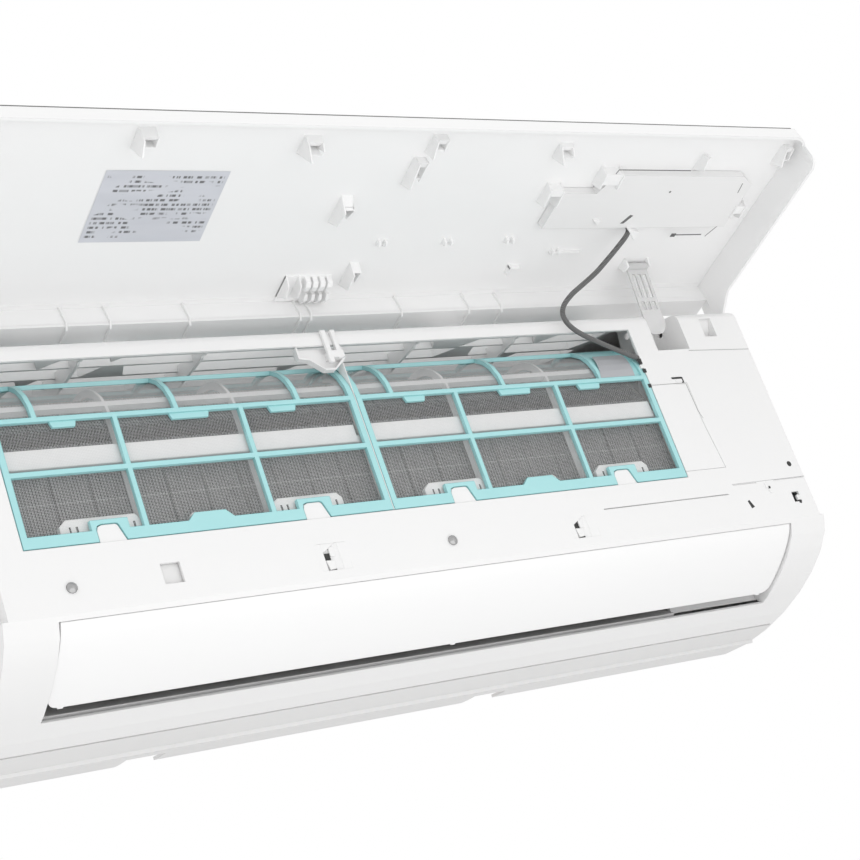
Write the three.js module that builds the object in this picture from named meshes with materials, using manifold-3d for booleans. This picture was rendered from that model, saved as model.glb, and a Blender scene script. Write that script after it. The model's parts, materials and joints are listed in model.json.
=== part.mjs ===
// Indoor unit of a split air conditioner with its front panel open. Millimetres, +Z up, origin on the wall.
// +X runs along the unit, the wall is the plane Y = 0 and the room lies on its negative side.
import * as THREE from "three";
import { mergeVertices } from "three/addons/utils/BufferGeometryUtils.js";
import Module from "manifold-3d";

const wasm = await Module();
wasm.setup();

// Casing
const bodyWidth = 800;
const bodyHeight = 305;
const noseDepth = 174.6;
const frontDepth = 165;
const frontLean = THREE.MathUtils.degToRad(10.5);
const sillDrop = 7.5;
const shellWall = 2.5;
const sideStep = 4.5;
const sideRecessDepth = 11;
const casingCornerRadius = 9;
const wallStandOff = 3;
const stepDrop = 51;
const undersideReach = 75;
const clearance = 0.3;
const overrun = 10;
const weld = 0.01;

// Filters and their window
const filterWidth = 312.7;
const filterPitch = 314.2;
const filterStart = -370.2;
const filterThickness = 3.5;
const filterRise = 100;
const filterArcRadius = 46;
const filterTail = THREE.MathUtils.degToRad(104.5);
const filterFirstBar = 98.6;
const filterSecondBar = 206.4;
const filterMiddleBar = 57.2;
const filterBarWidth = 4;
const crestBars = [35.5, 151.5, 260];
const filterCrest = 149.5;
const underBarTabs = [[57, 23], [161.5, 36], [244, 27]];
const tabDrop = 5;
const filterRimWidth = 5;
const filterSillWidth = 9;
const windowMargin = 0.8;
const netThread = 1.6;
const netThickness = 0.8;
const netColumns = 7;
const netRows = 4;

// Top grille and front beam
const beamHeight = 14;
const grilleDepth = 7.5;
const grilleFront = 117;
const grilleBack = 16;
const grilleBar = 3;

// Front panel, swung up
const panelThickness = 3;
const panelLength = 197;
const panelRootStart = 3.3;
const panelTilt = THREE.MathUtils.degToRad(24.7);
const panelRootDepth = 98.6;
const panelRootHeight = 191.2;
const panelSideDepth = 31;
const panelLipDepth = 10;
const panelFlangeDepth = 18.5;
const panelLedge = 17;
const panelCornerRadius = 18;
const hingeDepth = 109;
const hingeHeight = 141;
const hingePinRadius = 3;
const hingeArmRadius = 8;

// Stay arm and its slot
const stayWidth = 24;
const stayLength = 71;
const stayThickness = 1.6;
const stayPlace = 293;
const stayRise = 33.6;
const slotStart = 283;
const slotEnd = 322;
const slotRise = 125.5;
const slotDepth = 100;

// Fan, scroll and outlet
const fanRadius = 46;
const fanDepth = 66;
const fanDrop = 28;
const fanStart = -348;
const fanEnd = 246;
const fanBlades = 12;
const fanDiscs = 4;
const fanDisc = 2.5;
const bladeThickness = 1.6;
const bladeDepth = 12;
const shaftRadius = 5;
const scrollStart = 50;
const scrollGrowth = 27;
const bearingWall = 3;
const bearingGap = 4;
const outletLowDepth = 110;
const outletLowDrop = 119;
const outletHighDepth = 172;
const outletHighDrop = 62;
const louverStart = -357;
const louverEnd = 356;
const louverThickness = 3;
const louverHingeRise = 18;
const louverHingeInset = 4;
const louverPinRadius = 2.5;

// Vanes
const vaneCount = 8;
const vanePitch = 75;
const vaneFirst = -312;
const vaneFront = 16.5;
const vaneBack = 43;
const vaneLow = 1;
const vaneHigh = 54;
const vaneThickness = 1.8;
const vanePivot = 29;
const vanePinOffset = 10;
const vanePinRadius = 1.5;
const vaneSwing = 30;
const linkThickness = 2;

// Evaporator and drain pan
const coilThickness = 26;
const coilSetBack = 13;
const coilStart = -362;
const coilEnd = 256;
const frontSlabFoot = 8;
const frontSlabTop = 84;
const middleSlabLength = 38;
const rearSlabLength = 84;
const finGroove = 1.4;
const finGrooveDepth = 2.2;
const finCount = 20;
const endPlate = 1.5;
const bendRadius = 4.5;
const tubeRadius = 3.2;
const panWall = 2.5;

// Service side
const motorRadius = 38;
const motorStart = 262;
const motorLength = 56;
const boxStart = 332;
const boxEnd = 389;
const pipeBend = 18;
const liquidPipeRadius = 3.2;
const gasPipeRadius = 4.8;
const channelDepth = 44;
const channelTop = 104;
const plateThickness = 1.5;
const plateWidth = 560;
const plateHeight = 190;

const half = bodyWidth / 2;
const top = bodyHeight / 2;
const filterStarts = [filterStart, filterStart + filterPitch];
const windowEnd = filterStart + filterPitch + filterWidth + windowMargin;
const windowStart = filterStart - windowMargin;
const scrollWallStart = fanStart - bearingGap;
const scrollWallEnd = fanEnd + bearingGap;
const innerHalf = half - sideStep - shellWall;

// Solids

function solidOf(geometry) {
  const bare = geometry.index ? geometry.toNonIndexed() : geometry;
  bare.deleteAttribute("normal");
  bare.deleteAttribute("uv");
  const merged = mergeVertices(bare);
  return new wasm.Manifold(
    new wasm.Mesh({
      numProp: 3,
      vertProperties: merged.attributes.position.array,
      triVerts: new Uint32Array(merged.index.array),
    }),
  );
}

function join(...solids) {
  return solids.flat().reduce((all, next) => all.add(next));
}

function cut(body, ...tools) {
  return tools.flat().reduce((rest, tool) => rest.subtract(tool), body);
}

function frame(right, up, origin) {
  const out = new THREE.Vector3().crossVectors(right, up);
  return new THREE.Matrix4().makeBasis(right, up, out).setPosition(origin);
}

// Extrudes an outline drawn in the frame's first two axes from one level of its third axis to another
function prism(outline, low, high, place) {
  const shape = new THREE.Shape(outline.map(([u, v]) => new THREE.Vector2(u, v)));
  const geometry = new THREE.ExtrudeGeometry(shape, { depth: high - low, bevelEnabled: false });
  geometry.translate(0, 0, low);
  geometry.applyMatrix4(place);
  return solidOf(geometry);
}

const axisX = new THREE.Vector3(1, 0, 0);
const axisY = new THREE.Vector3(0, 1, 0);
const axisZ = new THREE.Vector3(0, 0, 1);
const sideView = frame(axisY, axisZ, new THREE.Vector3());
const planView = frame(axisX, axisY, new THREE.Vector3());
const rise = new THREE.Vector3(0, Math.sin(frontLean), Math.cos(frontLean));
const frontView = frame(axisX, rise, new THREE.Vector3(0, -frontDepth, -sillDrop));
const panelAway = new THREE.Vector3(0, -Math.cos(panelTilt), Math.sin(panelTilt));
const panelOrigin = new THREE.Vector3(0, -panelRootDepth, panelRootHeight);
const panelView = frame(axisX, panelAway, panelOrigin);
const panelInward = new THREE.Vector3().crossVectors(axisX, panelAway);
const panelSection = frame(panelAway, panelInward, panelOrigin);

const alongX = (outline, from, to) => prism(outline, from, to, sideView);
const upZ = (outline, from, to) => prism(outline, from, to, planView);
const onFront = (outline, from, to) => prism(outline, from, to, frontView);
const onPanel = (outline, from, to) => prism(outline, from, to, panelView);
const acrossPanel = (outline, from, to) => prism(outline, from, to, panelSection);

function rectangle(left, right, low, high) {
  return [[left, low], [right, low], [right, high], [left, high]];
}

function block(left, right, front, back, low, high) {
  return upZ(rectangle(left, right, front, back), low, high);
}

function circle(u, v, radius, sides) {
  return Array.from({ length: sides }, (_, i) => {
    const turn = (2 * Math.PI * (i + 0.5)) / sides;
    return [u + radius * Math.cos(turn), v + radius * Math.sin(turn)];
  });
}

// The outline through corners [u, v, radius], with an arc at each corner that has a radius
function rounded(corners, steps = 4) {
  return corners.flatMap(([u, v, radius = 0], i) => {
    if (!radius) return [[u, v]];
    const corner = new THREE.Vector2(u, v);
    const before = new THREE.Vector2(...corners.at(i - 1)).sub(corner).normalize();
    const after = new THREE.Vector2(...corners[(i + 1) % corners.length]).sub(corner).normalize();
    const halfAngle = Math.acos(before.dot(after)) / 2;
    const middle = before.clone().add(after).normalize();
    const centre = corner.clone().addScaledVector(middle, radius / Math.sin(halfAngle));
    const first = corner.clone().addScaledVector(before, radius / Math.tan(halfAngle)).sub(centre);
    const last = corner.clone().addScaledVector(after, radius / Math.tan(halfAngle)).sub(centre);
    const sweep = Math.atan2(first.cross(last), first.dot(last));
    return Array.from({ length: steps + 1 }, (_, k) => {
      const spoke = first.clone().rotateAround(new THREE.Vector2(), (sweep * k) / steps);
      return [centre.x + spoke.x, centre.y + spoke.y];
    });
  });
}

// The closed outline moved inwards by a distance
function inset(outline, distance) {
  const turn = THREE.ShapeUtils.isClockWise(outline.map(([x, y]) => new THREE.Vector2(x, y))) ? -1 : 1;
  const points = outline.map(([u, v]) => new THREE.Vector2(u, v));
  return points.map((point, i) => {
    const before = point.clone().sub(points.at(i - 1)).normalize();
    const after = points[(i + 1) % points.length].clone().sub(point).normalize();
    const normalBefore = new THREE.Vector2(-before.y, before.x).multiplyScalar(turn);
    const normalAfter = new THREE.Vector2(-after.y, after.x).multiplyScalar(turn);
    const middle = normalBefore.clone().add(normalAfter).normalize();
    const reach = distance / middle.dot(normalAfter);
    return [point.x + middle.x * reach, point.y + middle.y * reach];
  });
}

// Side profiles, as [y, z]

function front(distance, proud = 0) {
  return [
    -frontDepth + distance * Math.sin(frontLean) - proud * Math.cos(frontLean),
    -sillDrop + distance * Math.cos(frontLean) + proud * Math.sin(frontLean),
  ];
}

const noseShares = [[1, 0.38], [0.9966, 0.623], [0.498, 0.984], [0.017, 1]];
const noseCurve = new THREE.CubicBezierCurve(
  ...noseShares.map(([depth, drop]) => new THREE.Vector2(-noseDepth * depth, -top * drop)),
);
const noseSteps = 8;

function noseBand(fromShare, toShare, outer, inner, steps = noseSteps) {
  const along = (level) =>
    Array.from({ length: steps + 1 }, (_, i) => {
      const share = fromShare + ((toShare - fromShare) * i) / steps;
      const point = noseCurve.getPoint(share);
      const way = noseCurve.getTangent(share);
      return [point.x + way.y * -level, point.y + way.x * level];
    });
  return [...along(-outer), ...along(-inner).reverse()];
}

function noseShareAt(depth) {
  let low = 0;
  let high = 1;
  for (let i = 0; i < 40; i += 1) {
    const middle = (low + high) / 2;
    if (noseCurve.getPoint(middle).x < -depth) low = middle;
    else high = middle;
  }
  return low;
}

const topRise = (top + sillDrop) / Math.cos(frontLean);

function casingOutline(rear) {
  const nose = noseCurve.getPoints(noseSteps).map(({ x, y }) => [x, y]);
  const corner = rounded([[rear, top], [...front(topRise), casingCornerRadius], nose[0]]).slice(1, -1);
  nose[noseSteps][0] = rear;
  return [[rear, top], ...corner, ...nose];
}

const flow = new THREE.Vector2(
  outletHighDrop - outletLowDrop,
  outletLowDepth - outletHighDepth,
).normalize();

// A point of the air outlet: so far up its mouth from the lower lip, and so far inside it
function outlet(up, inside) {
  const across = new THREE.Vector2(flow.y, -flow.x);
  const point = new THREE.Vector2(-outletLowDepth, -outletLowDrop)
    .addScaledVector(across, up)
    .addScaledVector(flow, -inside);
  return [point.x, point.y];
}

const outletMouth = Math.hypot(outletHighDepth - outletLowDepth, outletLowDrop - outletHighDrop);
const louverHinge = outlet(louverHingeRise, louverHingeInset);

// The filters' path: straight up the front, then round an arc over the evaporator
const arcFoot = front(filterRise);
const arcCentre = [
  arcFoot[0] + filterArcRadius * Math.cos(frontLean),
  arcFoot[1] - filterArcRadius * Math.sin(frontLean),
];
const filterLength = filterRise + filterArcRadius * filterTail;

const pathSteps = 7;
const pathPitch = (filterLength - filterRise) / pathSteps;

// A point of the path, which turns round the arc in straight steps
function onPath(distance, proud) {
  if (distance <= filterRise) return front(distance, proud);
  const step = Math.floor((distance - filterRise) / pathPitch);
  const share = (distance - filterRise) / pathPitch - step;
  const [from, to] = [step, step + 1].map((bend) => {
    const angle = frontLean + (bend * pathPitch) / filterArcRadius;
    const radius = filterArcRadius + proud;
    return new THREE.Vector2(
      arcCentre[0] - radius * Math.cos(angle),
      arcCentre[1] + radius * Math.sin(angle),
    );
  });
  const point = from.lerp(to, share);
  return [point.x, point.y];
}

function pathBand(from, to, outer, inner) {
  const bends = Array.from({ length: pathSteps + 1 }, (_, i) => filterRise + pathPitch * i);
  const stops = [from, ...bends.filter((stop) => stop > from + weld && stop < to - weld), to];
  return [
    ...stops.map((stop) => onPath(stop, outer)),
    ...stops.reverse().map((stop) => onPath(stop, inner)),
  ];
}

function rod(outlinePoint, radius, from, to, sides = 16) {
  return alongX(circle(outlinePoint[0], outlinePoint[1], radius, sides), from, to);
}

// Front casing

const sillTabShares = [0.188, 0.744];
const sillTabWidth = 22;
const sillTabHeight = 13;

function casingCavity() {
  const outline = inset(casingOutline(overrun), shellWall);
  const narrow = alongX(outline, -innerHalf, innerHalf);
  const wide = alongX(outline, shellWall - half, half - shellWall);
  const frontBand = onFront(
    rectangle(-half, half, -stepDrop - shellWall, topRise + overrun),
    -sideRecessDepth - shellWall,
    overrun,
  );
  const armBand = block(
    -half,
    half,
    -frontDepth,
    recessBack + shellWall,
    recessLow - shellWall,
    top + overrun,
  );
  return join(narrow, cut(wide, frontBand, armBand));
}

const recessBack = -hingeDepth + hingeArmRadius + 10 * clearance;
const recessLow = hingeHeight - panelSideDepth;

function sideRecess(side) {
  const inner = side * (half - sideStep);
  const outer = side * (half + overrun);
  const [from, to] = [Math.min(inner, outer), Math.max(inner, outer)];
  const band = onFront(rectangle(from, to, -stepDrop, topRise + overrun), -sideRecessDepth, overrun);
  const arm = block(from, to, -frontDepth - overrun, recessBack, recessLow, top + overrun);
  return join(band, arm);
}

const beamFoot = (top - beamHeight + sillDrop) / Math.cos(frontLean);

function filterWindow() {
  const opening = onFront(
    rectangle(windowStart, windowEnd, -windowMargin, beamFoot),
    -shellWall - 2 * clearance,
    overrun,
  );
  const underTop = block(
    windowStart,
    windowEnd,
    -grilleFront,
    -grilleBack,
    top - grilleDepth - overrun,
    top + overrun,
  );
  return join(opening, underTop);
}

// The top grille: long hexagonal openings between bars, in rows that step back from the front
const grilleRowShares = [
  {
    from: 0.06,
    to: 0.24,
    edgeShares: [0, 0.094, 0.128, 0.195, 0.212, 0.69, 0.768, 0.87, 0.91, 1],
    lean: 0.016,
  },
  { from: 0.27, to: 0.5, edgeShares: [0, 0.2, 0.23, 0.75, 0.78, 1], lean: -0.016 },
  { from: 0.53, to: 0.73, edgeShares: [0, 0.1, 0.13, 0.48, 0.51, 0.86, 0.89, 1], lean: 0.016 },
  { from: 0.76, to: 0.94, edgeShares: [0, 0.3, 0.33, 0.66, 0.69, 1], lean: -0.016 },
];

function topGrille() {
  const [left, right] = [windowStart - shellWall, windowEnd + shellWall];
  const run = windowEnd - windowStart - 2 * grilleBar;
  const depth = grilleFront - grilleBack;
  const plate = block(
    left,
    right,
    -grilleFront - shellWall,
    -grilleBack + shellWall,
    top - grilleDepth,
    top,
  );
  const openings = grilleRowShares.flatMap(({ from, to, edgeShares, lean }) => {
    const [near, far] = [-grilleFront + depth * from, -grilleFront + depth * to];
    return Array.from({ length: edgeShares.length / 2 }, (_, i) => {
      const [a, b] = [edgeShares[2 * i], edgeShares[2 * i + 1]].map(
        (share) => windowStart + grilleBar + run * share,
      );
      const shift = run * lean;
      const low = Math.max(a - shift, windowStart + grilleBar);
      const high = Math.min(b + shift, windowEnd - grilleBar);
      return upZ(
        [[a, near], [b, near], [high, far], [low, far]],
        top - grilleDepth - overrun,
        top + overrun,
      );
    });
  });
  return cut(plate, openings);
}

const guideRib = 2.4;
const guideStart = 2;
const guideGap = 1.6;
const guideDepth = 6;
const ribLevel = -filterThickness - netThickness - guideGap;
const bracketPlace = filterStart + filterPitch - (filterPitch - filterWidth) / 2;

// Ribs behind the filter bars and under the grille, which guide the filters over the evaporator
function filterGuides() {
  const bars = filterStarts.flatMap((start) => [start + filterFirstBar, start + filterSecondBar]);
  const behind = pathBand(guideStart, filterLength, ribLevel, ribLevel - guideDepth);
  const slope = [
    [-grilleFront, top - grilleDepth - clearance],
    [-grilleFront, top - shellWall],
    [-grilleBack - shellWall, top - shellWall],
    [-grilleBack - shellWall, top - 4 * grilleDepth],
    [-grilleFront / 2, top - 2.6 * grilleDepth],
  ];
  return bars.flatMap((bar) => [
    alongX(behind, bar - guideRib / 2, bar + guideRib / 2),
    alongX(slope, bar - guideRib / 2, bar + guideRib / 2),
  ]);
}

const crossRibRise = 63;
const crossRibHeight = 6;

function crossRibs() {
  return [crossRibRise, crossRibRise + filterRise / 2].map((from) =>
    alongX(
      pathBand(from, from + crossRibHeight, ribLevel, ribLevel - guideDepth),
      windowStart - shellWall,
      windowEnd + shellWall,
    ),
  );
}

// The frame round the window's sides and foot, in front of the evaporator
function windowCheeks() {
  const depth = coilSetBack - shellWall;
  const profile = pathBand(-windowMargin - shellWall / 2, filterLength, 0, -depth);
  const sides = [
    alongX(profile, windowStart - shellWall, windowStart),
    alongX(profile, windowEnd, windowEnd + shellWall),
  ];
  const sill = onFront(
    rectangle(windowStart - shellWall, windowEnd + shellWall, -windowMargin - shellWall, -windowMargin),
    -depth,
    -clearance,
  );
  return [...sides, sill];
}

function sillTabs() {
  return filterStarts.flatMap((start) =>
    sillTabShares.map((share) => {
      const left = start + filterWidth * share;
      return onFront(
        rounded([
          [left, -shellWall],
          [left + sillTabWidth, -shellWall],
          [left + sillTabWidth * 0.75, sillTabHeight, sillTabHeight / 5],
          [left, sillTabHeight, sillTabHeight / 3],
        ], 2),
        ribLevel,
        -2 * clearance,
      );
    }),
  );
}

function outletOpening() {
  const from = louverStart - 1.5;
  const to = louverEnd + 1.5;
  return alongX(
    [
      outlet(outletMouth + 3 * clearance, -3 * overrun),
      outlet(outletMouth + 3 * clearance, overrun / 2),
      outlet(0, overrun / 2),
      outlet(0, -3 * overrun),
    ],
    from,
    to,
  );
}

// Cheeks at the outlet's ends that carry the louver's pins
function outletCheeks() {
  const shape = [
    outlet(outletMouth - shellWall, 4 * shellWall),
    ...noseBand(0.02, noseShareAt(outletLowDepth), -shellWall / 2, -shellWall).slice(0, noseSteps + 1),
    outlet(0, 5 * shellWall),
  ];
  const ends = [louverStart - 1.5 - shellWall, louverEnd + 1.5];
  return ends.map((from) => alongX(shape, from, from + shellWall));
}

// The wall that closes the mouth beside the fan, behind the louver
function blindMouth() {
  const deep = vaneFront + clearance;
  const shallow = overrun / 2;
  const bend = outletMouth * 0.85;
  const outline = [
    outlet(outletMouth + shellWall / 2, shallow),
    outlet(bend, deep),
    outlet(2 * shellWall, deep),
    outlet(-shellWall, shallow),
    outlet(-2 * shellWall, shallow + shellWall),
    outlet(shellWall, deep + shellWall),
    outlet(bend + shellWall / 2, deep + shellWall),
    outlet(outletMouth + shellWall / 2, shallow + shellWall),
  ];
  return alongX(outline, scrollWallEnd + bearingWall + clearance, louverEnd + 1.5 + shellWall);
}

function staySlot() {
  const [left, right] = [slotStart - shellWall, slotEnd + shellWall];
  const liner = block(left, right, -frontDepth, -slotDepth + shellWall, slotFloor - shellWall, top);
  const outline = casingOutline(-wallStandOff);
  return liner.intersect(alongX(outline, -half, half));
}

const slotFloor = -sillDrop + slotRise * Math.cos(frontLean);

function staySlotCut() {
  return block(slotStart, slotEnd, -frontDepth - overrun, -slotDepth, slotFloor, top + overrun);
}

const catchHoleShares = [
  { x: -0.157, s: -0.647, width: 27, height: 22 },
  { x: 0.152, s: -0.676, width: 29, height: 19 },
  { x: 0.47, s: -0.61, width: 9, height: 10 },
  { x: -0.329, s: -0.588, width: 16, height: 16 },
];
const squareRecess = { start: 347.6, end: 362.3, low: 137, high: 156, depth: 12 };
const clipGaps = [
  [285, 297, 95.8, 97.6],
  [295.4, 298.4, 91.8, 95],
  [254.8, 258.4, 88.8, 92.6],
];
const seamWidth = 0.8;
const seamDepth = 0.6;
const seams = [
  { start: 150, end: 295, drop: 20.9 },
  { start: 305, end: 334, drop: 13 },
  { start: 356, end: 396, drop: 12.5 },
];

function recessPocket() {
  const { start, end, low, high, depth } = squareRecess;
  return onFront(
    rectangle(start - shellWall, end + shellWall, low - shellWall, high + shellWall),
    -depth - shellWall,
    -shellWall / 2,
  );
}
const screwPlaces = [-343.1, -13.2];
const screwDrop = 32.2;
const screwHole = 2.2;

function frontHoles() {
  const holes = catchHoleShares.map(({ x, s, width, height }) =>
    onFront(
      rectangle(
        bodyWidth * x - width / 2,
        bodyWidth * x + width / 2,
        stepDrop * s - height / 2,
        stepDrop * s + height / 2,
      ),
      -2 * shellWall,
      overrun,
    ),
  );
  const { start, end, low, high, depth } = squareRecess;
  const square = onFront(rectangle(start, end, low, high), -depth, overrun);
  const screws = screwPlaces.map((x) =>
    onFront(circle(x, -screwDrop, screwHole, 10), -4 * shellWall, overrun),
  );
  const gaps = clipGaps.map((edges) => onFront(rectangle(...edges), -2 * shellWall, overrun));
  const grooves = seams.map(({ start: from, end: to, drop }) =>
    onFront(rectangle(from, to, -drop - seamWidth, -drop), -seamDepth, overrun),
  );
  return [...holes, square, ...screws, ...gaps, ...grooves];
}

const coverStart = 257.7;
const coverEnd = 301;
const coverTop = 91;
const coverFoot = 5;

function wiringCoverOutline(margin) {
  return [
    [coverStart - margin, coverFoot - margin],
    [coverEnd + sideStep + margin, coverFoot - margin],
    [coverEnd + margin, coverTop * 0.55],
    [coverEnd + margin, coverTop + margin],
    [coverStart - margin, coverTop + margin],
  ];
}

function frontCasing() {
  const outline = casingOutline(-wallStandOff);
  const shell = cut(
    alongX(outline, -half, half),
    casingCavity(),
    sideRecess(-1),
    sideRecess(1),
    filterWindow(),
    outletOpening(),
  );
  const inside = alongX(outline, -half + shellWall / 2, half - shellWall / 2);
  const fittings = join(
    topGrille(),
    filterGuides(),
    crossRibs(),
    windowCheeks(),
    sillTabs(),
    outletCheeks(),
    blindMouth(),
    staySlot(),
    recessPocket(),
  ).intersect(inside);
  const bracketRoom = alongX(
    pathBand(-clearance, filterLength, ribLevel + 3 * clearance, ribLevel - guideDepth - 3 * clearance),
    bracketPlace - guideRib / 2 - clearance,
    bracketPlace + guideRib / 2 + clearance,
  );
  const pinHole = rod(
    [-hingeDepth, hingeHeight],
    hingePinRadius + clearance,
    -half - overrun,
    half + overrun,
  );
  const louverHole = rod(louverHinge, louverPinRadius + clearance, -half, half, 12);
  const underside = block(
    shellWall - half,
    half - shellWall,
    -undersideReach - 3 * clearance,
    overrun,
    -top - overrun,
    -top * 0.6,
  );
  return cut(
    join(shell, fittings),
    staySlotCut(),
    frontHoles(),
    onFront(wiringCoverOutline(clearance), -shellWall - clearance, overrun),
    bracketRoom,
    pinHole,
    louverHole,
    underside,
  );
}

// Rear chassis with the fan scroll

function scrollPoint(degrees, thickness = 0) {
  const share = (scrollTopAngle - degrees) / (scrollTopAngle - scrollFootAngle);
  const radius = scrollStart + scrollGrowth * share ** 1.5 + thickness;
  const angle = THREE.MathUtils.degToRad(degrees);
  return [-fanDepth + radius * Math.cos(angle), -fanDrop + radius * Math.sin(angle)];
}

const scrollTopAngle = 62;
const scrollFootAngle = -100;
const scrollSteps = 11;

function scrollSurface(thickness) {
  return Array.from({ length: scrollSteps + 1 }, (_, i) =>
    scrollPoint(scrollTopAngle + ((scrollFootAngle - scrollTopAngle) * i) / scrollSteps, thickness),
  );
}

function scrollBand() {
  const lip = outlet(0, shellWall);
  const lipUnder = [lip[0] + shellWall, lip[1] - shellWall];
  return [...scrollSurface(0), lip, lipUnder, ...scrollSurface(shellWall).reverse()];
}

const rearFront = -wallStandOff / 2 - shellWall - clearance;
const rearFace = rearFront + shellWall;
const ribPlaceShares = [-0.28, -0.09, 0.1];
const chassisHalf = half - shellWall - clearance;
const chassisTop = top - shellWall - clearance;
const channelFront = -channelDepth;

function chassisFootBand() {
  const from = noseShareAt(undersideReach - clearance);
  return noseBand(from, 1, 0, -shellWall, 8);
}

const ductSideSetBack = 3.5;
const ductSideRise = 19;

// The side of the duct: everything between the rear wall, the scroll, the drain pan and the floor
function ductSide() {
  const tip = panTip();
  const below = panUnderside(0.6, 2 * clearance);
  return [
    [rearFront, -channelTop],
    [rearFront, scrollPoint(scrollTopAngle)[1]],
    scrollPoint(scrollTopAngle),
    [-fanDepth, -fanDrop + fanRadius + 2 * bearingGap],
    [tip[0] + ductSideSetBack, tip[1] + ductSideRise],
    panUnderside(0, 2 * clearance),
    below,
    outlet(outletMouth * 0.7, vaneFront),
    outlet(-3 * shellWall, vaneFront),
    scrollPoint(scrollFootAngle, shellWall / 2),
    [channelFront - shellWall, -channelTop],
  ];
}

function ribOutline() {
  return [
    [rearFront + shellWall / 2, -channelTop],
    [rearFront + shellWall / 2, 0],
    ...scrollSurface(shellWall / 2).filter(([y, z]) => z < 0 && y > -undersideReach),
    [-undersideReach - clearance, -channelTop - shellWall],
    [
      -undersideReach - clearance,
      noseCurve.getPoint(noseShareAt(undersideReach - clearance)).y + shellWall / 2,
    ],
    [channelFront - shellWall / 2, -top + 2 * shellWall],
    [channelFront - shellWall / 2, -channelTop],
  ];
}

function motorSaddle(from) {
  const saddle = alongX(
    [
      [rearFront, -fanDrop - motorRadius / 2],
      [rearFront, -channelTop],
      [channelFront, -channelTop],
      [-undersideReach, -channelTop],
      [-fanDepth - motorRadius, -fanDrop - motorRadius / 2],
    ],
    from,
    from + bearingWall,
  );
  return cut(
    saddle,
    rod([-fanDepth, -fanDrop], motorRadius + clearance, from - overrun, from + overrun, 32),
  );
}

const coilPostDepth = 108;
const coilPostHead = 43;

// Upright on the chassis beside the evaporator, which its left end plate stands against
function coilPost() {
  const [back, foot] = [rearFront - clearance, -channelTop + shellWall + clearance];
  const outline = [
    [back, foot],
    [back, top - coilPostHead],
    [-hingeDepth / 2, top - coilPostHead],
    [-coilPostDepth, top / 2],
    [-coilPostDepth, 0],
    [-fanDepth - fanRadius, -fanDrop],
    [-fanDepth, -fanDrop - fanRadius - bearingGap],
    [channelFront, foot],
  ];
  const rightFace = coilStart - endPlate - clearance;
  const post = alongX(outline, rightFace - bearingWall, rightFace);
  const room = rod([-fanDepth, -fanDrop], bushRadius + clearance, -half, -innerHalf / 2, 24);
  const bendHoles = bendPlaceShares.map((share) =>
    rod(
      slabPoint(slabs.coil_rear, coilThickness / 2, rearSlabLength * share),
      2.6 * bendRadius,
      -half,
      coilStart,
      12,
    ),
  );
  return cut(post, room, bendHoles);
}

const bushRadius = 13;
const hookPlaceShares = [-0.42, 0, 0.42];
const hookWidth = 18;
const hookHeight = 14;
const hookRise = 46;

function rearWallSlots() {
  return hookPlaceShares.map((share) =>
    block(
      plateWidth * share - hookWidth / 2 - 2 * clearance,
      plateWidth * share + hookWidth / 2 + 2 * clearance,
      rearFront - overrun,
      overrun,
      hookRise - 2 * clearance,
      hookRise + hookHeight + 2 * clearance,
    ),
  );
}

const knockOutShares = [-0.32, 0.1];
const knockOutWidth = 34;

function rearChassis() {
  const rear = block(-chassisHalf, chassisHalf, rearFront, rearFace, -channelTop, chassisTop);
  const channel = [
    block(
      -chassisHalf,
      chassisHalf,
      channelFront - shellWall,
      rearFace,
      -channelTop,
      -channelTop + shellWall,
    ),
    block(
      -chassisHalf,
      chassisHalf,
      channelFront - shellWall,
      channelFront,
      -top + shellWall,
      -channelTop + shellWall,
    ),
    alongX(chassisFootBand(), -chassisHalf, chassisHalf),
  ];
  const duct = alongX(scrollBand(), scrollWallStart - bearingWall, scrollWallEnd + bearingWall);
  const sides = [scrollWallStart - bearingWall, scrollWallEnd].map((from) =>
    alongX(ductSide(), from, from + bearingWall),
  );
  const interior = alongX(
    [...scrollSurface(shellWall / 2), [-fanDepth - fanRadius, fanRadius]],
    -half,
    half,
  );
  const ribs = ribPlaceShares.map((share) =>
    cut(alongX(ribOutline(), bodyWidth * share, bodyWidth * share + shellWall), interior),
  );
  const endRibs = [scrollWallStart - bearingWall, scrollWallEnd].map((from) =>
    alongX(ribOutline(), from, from + bearingWall),
  );
  const saddles = [motorStart + 4, motorStart + motorLength - 8].map(motorSaddle);
  const shaftHoles = rod(
    [-fanDepth, -fanDrop],
    shaftRadius + 3 * clearance,
    fanStart,
    fanEnd + 2 * overrun,
    20,
  );
  const bushHole = rod([-fanDepth, -fanDrop], bushRadius + clearance, -half, fanStart, 24);
  const knockOuts = knockOutShares.map((share) =>
    block(
      bodyWidth * share,
      bodyWidth * share + knockOutWidth,
      -undersideReach / 3,
      overrun,
      -top - overrun,
      -top + 2 * shellWall,
    ),
  );
  return cut(
    join(rear, channel, duct, sides, ribs, endRibs, saddles),
    shaftHoles,
    bushHole,
    vaneSockets(),
    rearWallSlots(),
    knockOuts,
  );
}

// Evaporator: three finned slabs round the fan, between two end plates

function slabFrame(foot, inward) {
  return frame(axisX, new THREE.Vector3(0, ...inward).normalize(), new THREE.Vector3(0, ...foot));
}

const leanIn = [Math.cos(frontLean), -Math.sin(frontLean)];
const middleFootShares = [0.767, 0.567];
const rearHeadShares = [0.338, 0.732];
const slabs = {
  coil_front: {
    place: slabFrame(front(-frontSlabFoot, -coilSetBack), leanIn),
    length: frontSlabFoot + frontSlabTop,
  },
  coil_middle: {
    place: slabFrame([-frontDepth * middleFootShares[0], top * middleFootShares[1]], [0.765, -0.645]),
    length: middleSlabLength,
  },
  coil_rear: {
    place: slabFrame([-frontDepth * rearHeadShares[0], top * rearHeadShares[1]], [-0.917, -0.4]),
    length: rearSlabLength,
  },
};

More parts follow.
